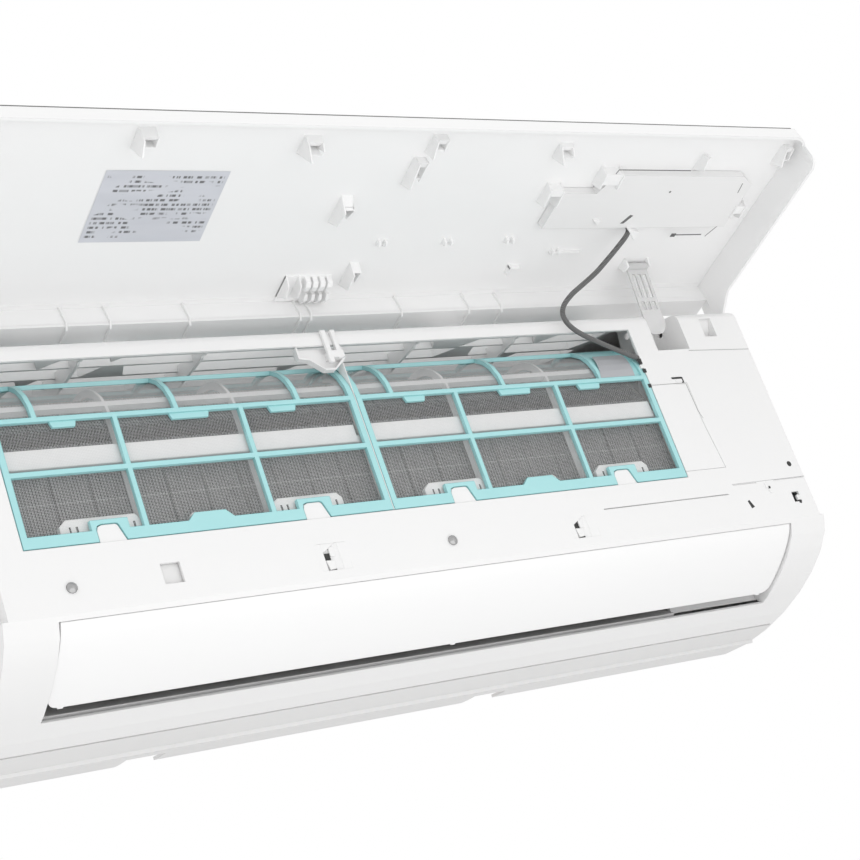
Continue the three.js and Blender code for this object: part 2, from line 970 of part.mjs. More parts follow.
// The slab's section across its fins: a comb whose grooves stand for the gaps between them
function combOutline() {
  const [from, to] = [coilStart + clearance, coilEnd - clearance];
  const pitch = (to - from) / finCount;
  const teeth = Array.from({ length: finCount - 1 }, (_, i) => {
    const middle = from + pitch * (i + 1);
    return [
      [middle - finGroove / 2, 0],
      [middle - finGroove / 2, finGrooveDepth],
      [middle + finGroove / 2, finGrooveDepth],
      [middle + finGroove / 2, 0],
    ];
  }).flat();
  return [[from, 0], ...teeth, [to, 0], [to, coilThickness], [from, coilThickness]];
}

function slabPoint({ place }, depth, along) {
  const point = new THREE.Vector3(0, depth, along).applyMatrix4(place);
  return [point.y, point.z];
}

function tube(points, radius, sides, steps) {
  const places = points.map((point) => new THREE.Vector3(...point));
  const path = new THREE.CatmullRomCurve3(places, false, "centripetal");
  const shape = new THREE.Shape(circle(0, 0, radius, sides).map(([u, v]) => new THREE.Vector2(u, v)));
  return solidOf(new THREE.ExtrudeGeometry(shape, { steps, bevelEnabled: false, extrudePath: path }));
}

const bendPlaceShares = [0.25, 0.62];

// A return bend that joins two tubes of one slab outside the end plate
function returnBend(slab, along, plane, outwards) {
  const reach = 2 * bendRadius;
  const points = Array.from({ length: 5 }, (_, i) => {
    const angle = (Math.PI * i) / 4;
    const [y, z] = slabPoint(slab, coilThickness / 2 - bendRadius * 1.4 * Math.cos(angle), along);
    return [plane + outwards * (reach * Math.sin(angle) - clearance), y, z];
  });
  return tube(points, tubeRadius, 6, 3);
}

function coilEndPlate(plane, outwards) {
  const { coil_front: foremost, coil_middle: middle, coil_rear: rear } = slabs;
  const outline = [
    slabPoint(foremost, 0, 0),
    slabPoint(foremost, 0, foremost.length),
    slabPoint(middle, 0, 0),
    slabPoint(middle, 0, middle.length),
    slabPoint(rear, 0, 0),
    slabPoint(rear, 0, rear.length),
    slabPoint(rear, coilThickness, rear.length),
    slabPoint(rear, coilThickness, coilThickness),
    slabPoint(middle, coilThickness, middleSlabLength / 2),
    slabPoint(foremost, coilThickness, foremost.length),
    slabPoint(foremost, coilThickness, 0),
  ];
  const [from, to] = [
    Math.min(plane, plane + outwards * endPlate),
    Math.max(plane, plane + outwards * endPlate),
  ];
  const face = plane + outwards * endPlate;
  const bends = [foremost, rear].flatMap((slab) =>
    bendPlaceShares.map((share) => returnBend(slab, slab.length * share, face, outwards)),
  );
  return join(alongX(outline, from, to), returnBend(middle, middle.length / 2, face, outwards), bends);
}

// Drain pan under the front slab; its rear edge is the lip that guides the fan's air

const stabiliserGap = 6;
const stabiliserAngle = THREE.MathUtils.degToRad(191);

function panTip() {
  const radius = fanRadius + stabiliserGap;
  return [-fanDepth + radius * Math.cos(stabiliserAngle), -fanDrop + radius * Math.sin(stabiliserAngle)];
}

function panUnderside(share, below) {
  const tip = new THREE.Vector2(...panTip());
  const nose = new THREE.Vector2(...outlet(outletMouth + clearance, overrun));
  const way = nose.clone().sub(tip);
  const down = new THREE.Vector2(-way.y, way.x).normalize();
  const point = tip.clone().addScaledVector(way, share).addScaledVector(down, below);
  return [point.x, point.y];
}

function drainPan() {
  const tip = panTip();
  const rimRise = 2.6 * shellWall;
  const proud = -shellWall - 3 * clearance;
  const backRim = [tip[0] - 1.6 * shellWall, -sillDrop - rimRise];
  const floorBack = [backRim[0] - shellWall, backRim[1] - 7 * shellWall];
  const floorFront = [front(-12 * shellWall, proud - shellWall)[0], floorBack[1] - 1.6 * shellWall];
  const outline = [
    front(-rimRise, proud),
    front(-frontSlabFoot - 15 * shellWall, proud),
    panUnderside(1, 0),
    tip,
    backRim,
    [backRim[0] - panWall, backRim[1]],
    floorBack,
    floorFront,
    front(-rimRise, proud - panWall),
  ];
  const solidOutline = [...outline.slice(0, 5), outline[5], outline[8]];
  const ends = [panStart, panEnd - panWall].map((from) => alongX(solidOutline, from, from + panWall));
  const [, spoutHeight] = floorFront;
  const spout = cut(
    rod(
      [floorBack[0] - 3 * panWall, spoutHeight + 2 * panWall],
      spoutRadius,
      panEnd - 2,
      panEnd + 16,
      12,
    ),
    rod(
      [floorBack[0] - 3 * panWall, spoutHeight + 2 * panWall],
      spoutRadius - panWall / 2,
      0,
      panEnd + 20,
      12,
    ),
  );
  const through = rod(
    [floorBack[0] - 3 * panWall, spoutHeight + 2 * panWall],
    spoutRadius - panWall / 2,
    panEnd - 2 * panWall,
    panEnd + overrun,
    12,
  );
  return cut(join(alongX(outline, panStart, panEnd), ends, spout), through);
}

const spoutRadius = 5;
const panStart = coilStart - endPlate - clearance - panWall;
const panEnd = coilEnd + endPlate + clearance + panWall;

// Cross-flow fan

function bladeOutline(index) {
  const turn = (2 * Math.PI * index) / fanBlades;
  const station = (share, offset) => {
    const radius = fanRadius - bladeDepth + bladeDepth * share * 0.96;
    const angle = turn + 0.34 * share ** 2;
    return [
      -fanDepth + radius * Math.cos(angle) - offset * Math.sin(angle),
      -fanDrop + radius * Math.sin(angle) + offset * Math.cos(angle),
    ];
  };
  const thick = bladeThickness / 2;
  return [station(0, 0), station(0.5, -thick), station(1, 0), station(0.5, thick)];
}

function fanRotor() {
  const span = (fanEnd - fanStart - fanDisc) / (fanDiscs - 1);
  const centre = [-fanDepth, -fanDrop];
  const blades = Array.from({ length: fanBlades }, (_, i) => alongX(bladeOutline(i), fanStart, fanEnd));
  const discs = Array.from({ length: fanDiscs }, (_, i) => {
    const from = fanStart + span * i;
    const whole = rod(centre, fanRadius, from, from + fanDisc, 20);
    const isEnd = i === 0 || i === fanDiscs - 1;
    const bore = isEnd ? shaftRadius + clearance : fanRadius - bladeDepth - fanDisc;
    return cut(whole, rod(centre, bore, from - overrun, from + fanDisc + overrun, 16));
  });
  const hubs = [fanStart, fanEnd - hubLength].map((from) =>
    cut(
      rod(centre, shaftRadius + 5 * bladeThickness, from, from + hubLength, 16),
      rod(centre, shaftRadius + clearance, from - overrun, from + hubLength + overrun, 16),
    ),
  );
  return join(discs, hubs, blades);
}

const hubLength = 18;

// Louver and vanes

const louverShares = [[1.004, 0.008], [0.855, 0.113], [0.416, 0.107], [0.145, 0.052]];

function louverPoint(upShare, outShare) {
  return outlet(outletMouth * upShare, -outletMouth * outShare);
}

function louverSection() {
  const curve = new THREE.CubicBezierCurve(
    ...louverShares.map(([up, out]) => new THREE.Vector2(...louverPoint(up, out))),
  );
  const steps = 12;
  const side = (level) =>
    Array.from({ length: steps + 1 }, (_, i) => {
      const point = curve.getPoint(i / steps);
      const way = curve.getTangent(i / steps);
      return [point.x - way.y * level, point.y + way.x * level];
    });
  return [...side(0), ...side(louverThickness).reverse()];
}

const mouthInside = new THREE.Vector3(0, -flow.x, -flow.y);
const mouthOrigin = new THREE.Vector3(0, -outletLowDepth, -outletLowDrop);
const mouthView = frame(axisX, mouthInside, mouthOrigin);
const acrossMouth = new THREE.Vector3().crossVectors(axisX, mouthInside);
const mouthFace = frame(axisX, acrossMouth, mouthOrigin);
const louverCorner = 9;

function louver() {
  const [left, right] = [louverStart, louverEnd];
  const reach = outletMouth + clearance;
  const face = prism(
    rounded([
      [left, outletMouth * 0.145, louverCorner],
      [right, outletMouth * 0.145, louverCorner],
      [right, reach],
      [left, reach],
    ]),
    -2 * overrun,
    2 * overrun,
    mouthFace,
  );
  const blade = alongX(louverSection(), left, right).intersect(face);
  const armWidth = 3 * bearingWall / 2;
  const armOutline = [
    outlet(louverHingeRise - 7, -4.4),
    outlet(louverHingeRise + 10, -4.8),
    outlet(louverHingeRise + 4, louverHingeInset + 3),
    outlet(louverHingeRise - 4, louverHingeInset + 3),
  ];
  const arms = [left + louverCorner, -armWidth / 2, right - louverCorner - armWidth].map((from) =>
    alongX(armOutline, from, from + armWidth),
  );
  const pins = [
    rod(louverHinge, louverPinRadius, left - 1.5 - 2 * shellWall, left + louverCorner + 1, 12),
    rod(louverHinge, louverPinRadius, right - louverCorner - 1, right + 1.5 + 3 * shellWall, 12),
  ];
  return join(blade, arms, pins);
}

function vane(place) {
  const plate = alongX(
    [
      outlet(vaneLow, vaneFront + 2),
      outlet(vaneLow + 2, vaneFront),
      outlet(vaneHigh, vaneFront),
      outlet(vaneHigh, vaneBack),
      outlet(vaneLow, vaneBack),
    ],
    place - vaneThickness / 2,
    place + vaneThickness / 2,
  );
  const peg = prism(
    circle(place, vanePivot, vanePinRadius * 1.3, 6),
    vaneLow - vanePegLength,
    vaneLow + 1,
    mouthView,
  );
  const pin = prism(
    circle(place, vanePivot + vanePinOffset, vanePinRadius, 6),
    vaneHigh - 1,
    vanePinTop,
    mouthView,
  );
  return join(plate, peg, pin);
}

const vanePegLength = 16;
const vanePinTop = vaneHigh + clearance + linkThickness + 1;
const vanePlaces = Array.from({ length: vaneCount }, (_, i) => vaneFirst + vanePitch * i);

function vaneSockets() {
  return vanePlaces.map((place) =>
    prism(
      circle(place, vanePivot, vanePinRadius * 1.3 + clearance, 6),
      vaneLow - vanePegLength - 3,
      vaneLow + 1,
      mouthView,
    ),
  );
}

function vaneLink() {
  const middle = vanePivot + vanePinOffset;
  const reach = vanePinOffset * (1 - Math.cos(THREE.MathUtils.degToRad(vaneSwing)));
  const bar = prism(
    rectangle(vanePlaces[0] - 8, vanePlaces.at(-1) + 8, middle - 4.5, middle + 4.5),
    vaneHigh + clearance,
    vaneHigh + clearance + linkThickness,
    mouthView,
  );
  const slack = vanePinRadius + 2 * clearance;
  const slots = vanePlaces.map((place) =>
    prism(
      rectangle(place - slack, place + slack, middle - slack - reach, middle + slack),
      vaneHigh - 1,
      vanePinTop + 1,
      mouthView,
    ),
  );
  return cut(bar, slots);
}

// Filters

const gripWidth = 34;
const gripHeight = 5.5;
const gripRise = 9.5;

function filterFrame(start) {
  const end = start + filterWidth;
  const across = (from, to) => alongX(pathBand(from, to, 0, -filterThickness), start, end);
  const upright = (place, width, from, to) =>
    alongX(pathBand(from, to, 0, -filterThickness), start + place, start + place + width);
  const bars = [
    upright(0, filterRimWidth, 0, filterLength),
    upright(filterWidth - filterRimWidth, filterRimWidth, 0, filterLength),
    ...[filterFirstBar, filterSecondBar].map((place) =>
      upright(place - filterBarWidth / 2, filterBarWidth, 0, filterRise),
    ),
    ...crestBars.map((place) =>
      upright(place - filterBarWidth / 2, filterBarWidth, filterRise, filterLength),
    ),
  ];
  const tabs = underBarTabs.map(([place, width]) =>
    onFront(
      [
        [start + place - width / 2, filterRise],
        [start + place - width / 2 + tabDrop / 2, filterRise - filterBarWidth / 2 - tabDrop],
        [start + place + width / 2 - tabDrop / 2, filterRise - filterBarWidth / 2 - tabDrop],
        [start + place + width / 2, filterRise],
      ],
      -filterThickness,
      -filterThickness / 3,
    ),
  );
  const rows = [
    across(0, filterSillWidth),
    across(filterMiddleBar - filterBarWidth / 2, filterMiddleBar + filterBarWidth / 2),
    across(filterRise - filterBarWidth / 2, filterRise + filterBarWidth / 2),
    across(filterCrest - filterBarWidth / 2, filterCrest + filterBarWidth / 2),
    across(filterLength - filterRimWidth, filterLength),
  ];
  const grip = onFront(
    [
      [start + filterFirstBar + gripWidth, gripRise - 1],
      [start + filterSecondBar - gripWidth, gripRise - 1],
      [start + filterSecondBar - gripWidth * 1.2, gripRise + gripHeight],
      [start + filterFirstBar + gripWidth * 1.2, gripRise + gripHeight],
    ],
    -filterThickness,
    0,
  );
  const notches = sillTabShares.map((share) => {
    const left = start + filterWidth * share;
    return onFront(
      rounded([
        [left - clearance * 2, -overrun],
        [left + sillTabWidth + clearance * 3, -overrun],
        [left + sillTabWidth + clearance * 3, -shellWall],
        [left + sillTabWidth * 0.75 + clearance * 3, sillTabHeight + clearance * 2, sillTabHeight / 5],
        [left - clearance * 2, sillTabHeight + clearance * 2, sillTabHeight / 3],
      ], 2),
      -filterThickness - overrun,
      overrun,
    );
  });
  const hoods = sillTabShares.map((share) => {
    const left = start + filterWidth * share - filterBarWidth;
    return onFront(
      rectangle(
        left,
        left + sillTabWidth + 2 * filterBarWidth,
        filterSillWidth - 1,
        sillTabHeight + filterBarWidth,
      ),
      -filterThickness,
      0,
    );
  });
  const plate = alongX(
    pathBand(filterRise, filterCrest, -filterThickness / 2, -filterThickness),
    start + crestBars[2],
    start + filterWidth - filterRimWidth / 2,
  );
  const filled = start > filterStart ? [plate] : [];
  return cut(join(bars, rows, tabs, grip, hoods, filled), notches);
}

// The dust net behind a filter's frame: a sheet with windows between its threads
function filterNet(start) {
  const outer = -filterThickness - 2 * clearance;
  const inner = outer - netThickness;
  const [left, right] = [start + clearance, start + filterWidth - clearance];
  const foot = sillTabHeight + 2 * filterBarWidth;
  const head = filterLength - clearance;
  const [columnPitch, rowPitch] = [
    (right - left - netThread) / netColumns,
    (head - foot - netThread) / netRows,
  ];
  const windows = Array.from({ length: netRows }, (_, row) => {
    const near = foot + netThread + rowPitch * row;
    const profile = pathBand(near, near + rowPitch - netThread, outer + netThread, inner - netThread);
    return Array.from({ length: netColumns }, (_, column) => {
      const from = left + netThread + columnPitch * column;
      return alongX(profile, from, from + columnPitch - netThread);
    });
  });
  return cut(alongX(pathBand(foot, head, outer, inner), left, right), windows.flat());
}

// Front panel, swung up on the pins at its root corners

// The hinge axis as seen in the panel's section: so far along the panel, and so far in from its inner face
function panelSectionPoint([y, z]) {
  const away = new THREE.Vector2(-Math.cos(panelTilt), Math.sin(panelTilt));
  const inward = new THREE.Vector2(-Math.sin(panelTilt), -Math.cos(panelTilt));
  const offset = new THREE.Vector2(y + panelRootDepth, z - panelRootHeight);
  return [offset.dot(away), offset.dot(inward)];
}

function panelOutline(margin) {
  return rounded([
    [-half + margin, -panelRootStart + margin],
    [half - margin, -panelRootStart + margin],
    [half - margin, panelLength - margin, panelCornerRadius - margin],
    [-half + margin, panelLength - margin, panelCornerRadius - margin],
  ]);
}

const panelHookShares = [
  { x: -0.3275, s: 0.858, width: 14, length: 30 },
  { x: -0.15, s: 0.85, width: 13, length: 35 },
  { x: -0.003, s: 0.863, width: 11, length: 30 },
  { x: -0.013, s: 0.716, width: 11, length: 34 },
  { x: -0.077, s: 0.503, width: 9, length: 34 },
  { x: -0.026, s: 0.142, width: 5, length: 38 },
  { x: 0.163, s: 0.853, width: 11, length: 36 },
  { x: 0.3675, s: 0.838, width: 4, length: 28 },
  { x: 0.4845, s: 0.848, width: 11, length: 38 },
];
const panelHookHeight = 7;
const panelHookWall = 1.6;
const gussetShares = [-0.344, -0.2975, -0.21, -0.0805, -0.0675, 0.0475, 0.1375, 0.1825];
const gussetThickness = 1.8;
const gussetRise = 2.4;

// A moulded latch: an open box with a slanted nose
function panelHook({ x, s, width, length }) {
  const [middle, from] = [bodyWidth * x, panelLength * s - length / 2];
  const profile = [
    [from, -1],
    [from + length, -1],
    [from + length, panelHookHeight * 0.4],
    [from + length * 0.55, panelHookHeight],
    [from + length * 0.3, panelHookHeight],
    [from, panelHookHeight * 0.3],
  ];
  const whole = acrossPanel(profile, middle - width / 2, middle + width / 2);
  const hollow = acrossPanel(
    rectangle(from + length * 0.3, from + length * 0.72, 0, panelHookHeight + 1),
    middle - width / 2 + panelHookWall,
    middle + width / 2 + overrun,
  );
  return cut(whole, hollow);
}

function panelRoot() {
  const ledgeBack = -panelRootStart - panelLedge;
  const inner = half - panelThickness;
  const profile = [
    [-panelRootStart, -panelThickness / 2],
    [-panelRootStart + shellWall, -panelThickness / 2],
    [-panelRootStart + shellWall, panelFlangeDepth],
    [ledgeBack, panelFlangeDepth],
    [ledgeBack, panelFlangeDepth - shellWall],
    [-panelRootStart, panelFlangeDepth - shellWall],
  ];
  return acrossPanel(profile, -inner + 1, inner - 1);
}

function panelGussets() {
  const rootFace = -panelRootStart + shellWall;
  const profile = [
    [-panelRootStart, 0],
    [rootFace + gussetRise, 0],
    [rootFace + gussetRise, panelFlangeDepth - gussetRise],
    [rootFace - gussetRise, panelFlangeDepth + gussetRise],
    [-panelRootStart - panelLedge + 1, panelFlangeDepth + gussetRise],
    [-panelRootStart - panelLedge + 1, panelFlangeDepth - shellWall / 2],
    [-panelRootStart, panelFlangeDepth - shellWall / 2],
  ];
  return gussetShares.map((share) =>
    acrossPanel(profile, bodyWidth * share, bodyWidth * share + gussetThickness),
  );
}

// The end walls and the arms that run on from them to the hinge pins
function panelArm(side) {
  const [along, deep] = panelSectionPoint([-hingeDepth, hingeHeight]);
  const profile = [
    [2 * hingeArmRadius, panelSideDepth / 2],
    [3 * hingeArmRadius, panelSideDepth],
    [along + hingeArmRadius, deep - hingeArmRadius / 2],
    [along + hingeArmRadius * 0.7, deep + hingeArmRadius * 0.7],
    [along, deep + hingeArmRadius],
    [along - hingeArmRadius * 0.7, deep + hingeArmRadius * 0.7],
    [along - hingeArmRadius, deep],
    [-panelRootStart - hingeArmRadius, panelFlangeDepth],
    [-panelRootStart, panelFlangeDepth - shellWall],
  ];
  const outer = side * half;
  const inner = side * (half - panelThickness);
  const arm = acrossPanel(profile, Math.min(outer, inner), Math.max(outer, inner));
  const pinEnd = side * (innerHalf - 1);
  const pin = rod(
    [-hingeDepth, hingeHeight],
    hingePinRadius,
    Math.min(pinEnd, inner + side),
    Math.max(pinEnd, inner + side),
  );
  return join(arm, pin);
}

const stayPivotDepth = 4.5;
const stayEyeRadius = 3.6;
const stayPinRadius = 1.6;
const stayLug = 2.5;

function stayLugs() {
  const [left, right] = [stayPlace - stayWidth / 2, stayPlace + stayWidth / 2];
  const lug = [
    [stayRise - 2 * stayEyeRadius, -1],
    [stayRise + 2 * stayEyeRadius, -1],
    [stayRise + stayEyeRadius, stayPivotDepth + stayEyeRadius],
    [stayRise - stayEyeRadius, stayPivotDepth + stayEyeRadius],
  ];
  return join(
    acrossPanel(lug, left - stayLug - clearance, left - clearance),
    acrossPanel(lug, right + clearance, right + clearance + stayLug),
    acrossPanel(circle(stayRise, stayPivotDepth, stayPinRadius, 10), left - stayLug, right + stayLug),
  );
}

function frontPanel() {
  const box = onPanel(panelOutline(0), -panelThickness, panelSideDepth);
  const hollow = onPanel(panelOutline(panelThickness), 0, panelSideDepth + overrun);
  const lipCut = acrossPanel(
    [
      [panelLength - panelCornerRadius, panelSideDepth + overrun],
      [panelLength - panelCornerRadius, panelSideDepth],
      [panelLength - 0.65 * panelCornerRadius, 0.93 * panelSideDepth],
      [panelLength - 0.5 * panelCornerRadius, 0.8 * panelSideDepth],
      [panelLength - 0.46 * panelCornerRadius, panelLipDepth],
      [panelLength + overrun, panelLipDepth],
      [panelLength + overrun, panelSideDepth + overrun],
    ],
    -half - overrun,
    half + overrun,
  );
  const lipTrim = acrossPanel(
    rectangle(
      panelLength - panelCornerRadius,
      panelLength + overrun,
      panelLipDepth,
      panelSideDepth + overrun,
    ),
    -half + sideStep - clearance,
    half - sideStep + clearance,
  );
  const rootCut = acrossPanel(
    rectangle(
      -panelRootStart - overrun,
      panelThickness,
      panelFlangeDepth - shellWall,
      panelSideDepth + overrun,
    ),
    -half + panelThickness,
    half - panelThickness,
  );
  const shell = cut(box, hollow, lipCut, lipTrim, rootCut);
  return join(
    shell,
    panelRoot(),
    panelGussets(),
    panelHookShares.map(panelHook),
    panelArm(-1),
    panelArm(1),
    stayLugs(),
  );
}

// Display cover with its board, on the panel's inner face

const coverLeft = 150;
const coverRight = 367;
const coverBack = 86;
const coverFront = 148;
const coverHeight = 8;
const coverWall = 1.8;
const cableExitPlace = 254;
const cableRadius = 2.3;

function displayOutline(margin) {
  return [
    [coverLeft + margin, coverBack + margin],
    [coverRight - margin, coverBack + margin],
    [coverRight - margin, coverFront - 10 - margin],
    [coverRight - 16 - margin, coverFront - margin],
    [coverLeft + 48 + margin, coverFront - margin],
    [coverLeft + 38 + margin, coverFront - 21 - margin],
    [coverLeft + margin, coverFront - 21 - margin],
  ];
}

function displayCover() {
  const tray = onPanel(displayOutline(0), clearance, coverHeight);
  const hollow = onPanel(displayOutline(coverWall), -1, coverHeight - coverWall);
  const exit = onPanel(
    rectangle(
      cableExitPlace - cableRadius - 1,
      cableExitPlace + cableRadius + 1,
      coverBack - 1,
      coverBack + 3,
    ),
    -1,
    2 * cableRadius + 2,
  );
  return cut(tray, hollow, exit);
}

function displayBoard() {
  const margin = coverWall + 2 * clearance;
  const board = onPanel(displayOutline(margin + 2), 3.2, 4.8);
  const posts = [coverLeft + 60, coverRight - 30].map((place) =>
    onPanel(rectangle(place, place + 6, coverBack + 12, coverBack + 18), clearance, 3.3),
  );
  const pins = [coverLeft + 90, coverRight - 60].map((place) =>
    onPanel(
      rectangle(place, place + 16, coverBack + 20, coverBack + 34),
      4.7,
      coverHeight - coverWall - clearance,
    ),
  );
  return join(board, posts, pins);
}

// The display's cable, as points chosen by hand
const cableRoute = [
  [254, -174.2, 223.6],
  [252.5, -176.2, 219.5],
  [247, -177.5, 213.5],
  [238, -175, 205.5],
  [226.5, -170, 195.5],
  [213, -164.5, 184.5],
  [199, -159.5, 175.5],
  [187, -155.5, 168],
  [178.5, -152, 160],
  [176, -149.8, 152.5],
  [179, -148.4, 145],
  [187, -147.4, 137.8],
  [199, -146.4, 131.4],
  [214, -145.4, 125.2],
  [229, -144.4, 119.4],
  [243, -143.2, 114.4],
  [251, -142.2, 111.6],
  [256.8, -141.4, 110.2],
];

function displayCable() {
  return tube(cableRoute, cableRadius, 8, 24);
}

// Stay arm

function stayArm() {
  const [, y, z] = new THREE.Vector3(0, stayRise, stayPivotDepth).toArray();
  const panelBasis = new THREE.Matrix4().makeBasis(axisX, panelAway, panelInward);
  const pivot = new THREE.Vector3(0, y, z).applyMatrix4(panelBasis);
  const place = pivot.add(panelOrigin);
  const view = frame(axisX, axisZ, new THREE.Vector3(0, place.y, place.z));
  const [left, right] = [stayPlace - stayWidth / 2, stayPlace + stayWidth / 2];
  const shift = stayWidth * 0.28;
  const foot = -stayLength + stayPivotDepth;
  const strip = prism(
    rounded([
      [left, -stayEyeRadius],
      [left + shift, foot, stayWidth * 0.3],
      [right + shift, foot, stayWidth * 0.45],
      [right, -stayEyeRadius],
    ]),
    -stayThickness / 2,
    stayThickness / 2,
    view,
  );
  const neck = prism(
    rectangle(left, right, -stayEyeRadius - 1, 0),
    -stayThickness / 2,
    stayThickness / 2,
    view,
  );
  const eye = rod([place.y, place.z], stayEyeRadius, left, right, 14);
  const bore = rod([place.y, place.z], stayPinRadius + clearance, left - 1, right + 1, 14);
  const slits = [0.14, 0.41, 0.68].flatMap((share) =>
    [[0.12, 0.46], [0.52, 0.64]].map(([near, far]) => {
      const at = (down) => left + stayWidth * share + shift * down;
      const width = stayWidth * 0.17;
      return prism(
        [
          [at(near), foot * near],
          [at(near) + width, foot * near],
          [at(far) + width, foot * far],
          [at(far), foot * far],
        ],
        -stayThickness,
        stayThickness,
        view,
      );
    }),
  );
  return cut(join(strip, neck, eye), bore, slits);
}

// Bracket between the filters, with the cup and prongs above them

const cupLeft = -97;
const cupRight = -54;
const cupLow = 126;
const cupHigh = 147.5;
const cupDepth = 6;
const cupWall = 1.5;
const cupRise = cupHigh - cupLow;
const cupWidth = cupRight - cupLeft;
const prongPlaces = [
  { place: -68, foot: 131.5, width: 4.5 },
  { place: -59, foot: 135, width: 4 },
];
const ribThickness = 0.8;

function centreBracket() {
  const middle = bracketPlace;
  const ribStops = [cupLow, filterRise + 0.6 * (cupLow - filterRise), filterRise];
  const rib = alongX(
    [
      front(0, -clearance),
      front(cupLow + 0.6 * cupRise, -clearance),
      front(cupLow + 0.6 * cupRise, -cupDepth + guideRib),
      ...ribStops.map((distance) => onPath(distance, ribLevel - guideDepth / 2)),
      front(0, ribLevel - guideDepth / 2),
    ],
    middle - ribThickness / 2,
    middle + ribThickness / 2,
  );
  const spine = alongX(
    pathBand(0, filterLength * 0.85, ribLevel, ribLevel - guideDepth),
    middle - guideRib / 2,
    middle + guideRib / 2,
  );
  const cupOutline = (wall, top) => [
    [cupLeft + wall, top],
    [cupLeft + wall, cupLow + cupRise * 0.52 + wall],
    [cupLeft + cupWidth * 0.22, cupLow + cupRise * 0.45 + wall],
    [cupLeft + cupWidth * 0.52, cupLow + wall],
    [cupLeft + cupWidth * 0.74, cupLow + wall],
    [cupRight - wall, cupLow + cupRise * 0.4 + wall],
    [cupRight - wall, top],
  ];
  const cup = cut(
    onFront(cupOutline(0, cupHigh), -cupDepth, 0),
    onFront(cupOutline(cupWall, cupHigh + overrun), -cupDepth + cupWall, overrun),
  );
  const prongs = prongPlaces.map(({ place, foot, width }) =>
    onFront(
      rectangle(place - width / 2, place + width / 2, foot, topRise - 2),
      -cupDepth / 4 + clearance + 1.5,
      cupDepth / 2,
    ),
  );
  const bridge = onFront(
    rectangle(
      prongPlaces[0].place - 1,
      cupRight - cupWall / 2,
      cupLow + cupRise * 0.45,
      cupLow + cupRise * 0.75,
    ),
    -cupDepth + cupWall / 2,
    cupDepth / 2,
  );
  return join(rib, spine, cup, prongs, bridge);
}

// Service side: wiring cover, terminals, electrical box, board, sensor and screws

function wiringCover() {
  const plate = onFront(wiringCoverOutline(0), -shellWall, 0);
  const clip = onFront(
    rectangle(coverEnd - 12, coverEnd, coverTop - 1, coverTop + 8),
    -shellWall - clearance - 2 * shellWall,
    -shellWall - 2 * clearance,
  );
  const neck = onFront(
    rectangle(coverEnd - 10, coverEnd - 2, coverTop - 5, coverTop),
    -3 * shellWall,
    -shellWall / 2,
  );
  return join(plate, clip, neck);
}

const boxWall = 1.8;
const boxFront = 148;
const boxBack = 116;
const boxFloor = 5;
const boxHeight = 108;

function electricalBox() {
  const outer = block(coverStart + 15, boxEnd, -boxFront, -boxBack, -boxFloor, boxHeight);
  const inner = block(
    coverStart + 15 + boxWall,
    boxEnd - boxWall,
    -boxFront - overrun,
    -boxBack - boxWall,
    -boxFloor + boxWall,
    boxHeight - boxWall,
  );
  const slope = onFront(rectangle(0, half, -overrun * 2, filterLength), -2 * shellWall, 4 * overrun);
  const divider = block(
    boxStart - 20,
    boxStart - 20 + boxWall,
    -boxFront + 14,
    -boxBack - 1,
    -boxFloor,
    boxHeight,
  );
  const foot = block(
    boxStart - panWall,
    boxStart,
    -boxBack - boxWall / 2,
    rearFront - clearance,
    boxFloor,
    boxHeight / 3,
  );
  return cut(join(cut(outer, inner), divider, foot), slope);
}

function mainBoard() {
  const [left, right] = [boxStart - 15, boxEnd - boxWall - 2];
  const rear = -boxBack - boxWall;
  const board = block(left, right, rear - 5.6, rear - 4, boxFloor, boxHeight - 8);
  const standOffs = [
    [left + 4, boxFloor + 6],
    [right - 8, boxHeight - 18],
  ].map(([x, z]) => block(x, x + 4, rear - 4.5, rear - clearance, z, z + 4));
  const parts = [
    block(left + 6, left + 24, rear - 16, rear - 5, boxHeight - 40, boxHeight - 18),
    block(left + 30, left + 50, rear - 12, rear - 5, boxFloor + 10, boxFloor + 30),
    block(left + 8, left + 20, rear - 14, rear - 5, boxFloor + 16, boxFloor + 40),
  ];
  return join(board, standOffs, parts);
}

const terminalCount = 5;

function terminalBlock() {
  const rear = -boxBack - boxWall - clearance;
  const [left, low] = [coverStart + 19, 14];
  const pitch = 9;
  const base = block(left, left + 26, rear - 14, rear, low, low + pitch * terminalCount + 2);
  const wells = Array.from({ length: terminalCount }, (_, i) =>
    block(
      left + 2,
      left + 24,
      rear - 14 - overrun,
      rear - 6,
      low + 2 + pitch * i,
      low + pitch * (i + 1),
    ),
  );
  return cut(base, wells);
}

const sensorRadius = 3;

function roomSensor() {
  const depth = -filterThickness - netThickness - guideGap - 2 * sensorRadius;
  const middle = onPath(crossRibRise + filterRise / 2 - 3 * sensorRadius, depth / 1.2);
  const stem = rod(middle, sensorRadius, windowEnd - 34, windowEnd - 6, 12);
  const clip = alongX(
    pathBand(
      crossRibRise + filterRise / 2 - 2.4 * sensorRadius,
      crossRibRise + filterRise / 2 - clearance,
      depth / 1.2 + 1,
      depth / 1.2 - 1,
    ),
    windowEnd - 26,
    windowEnd - 16,
  );
  return join(stem, clip);
}

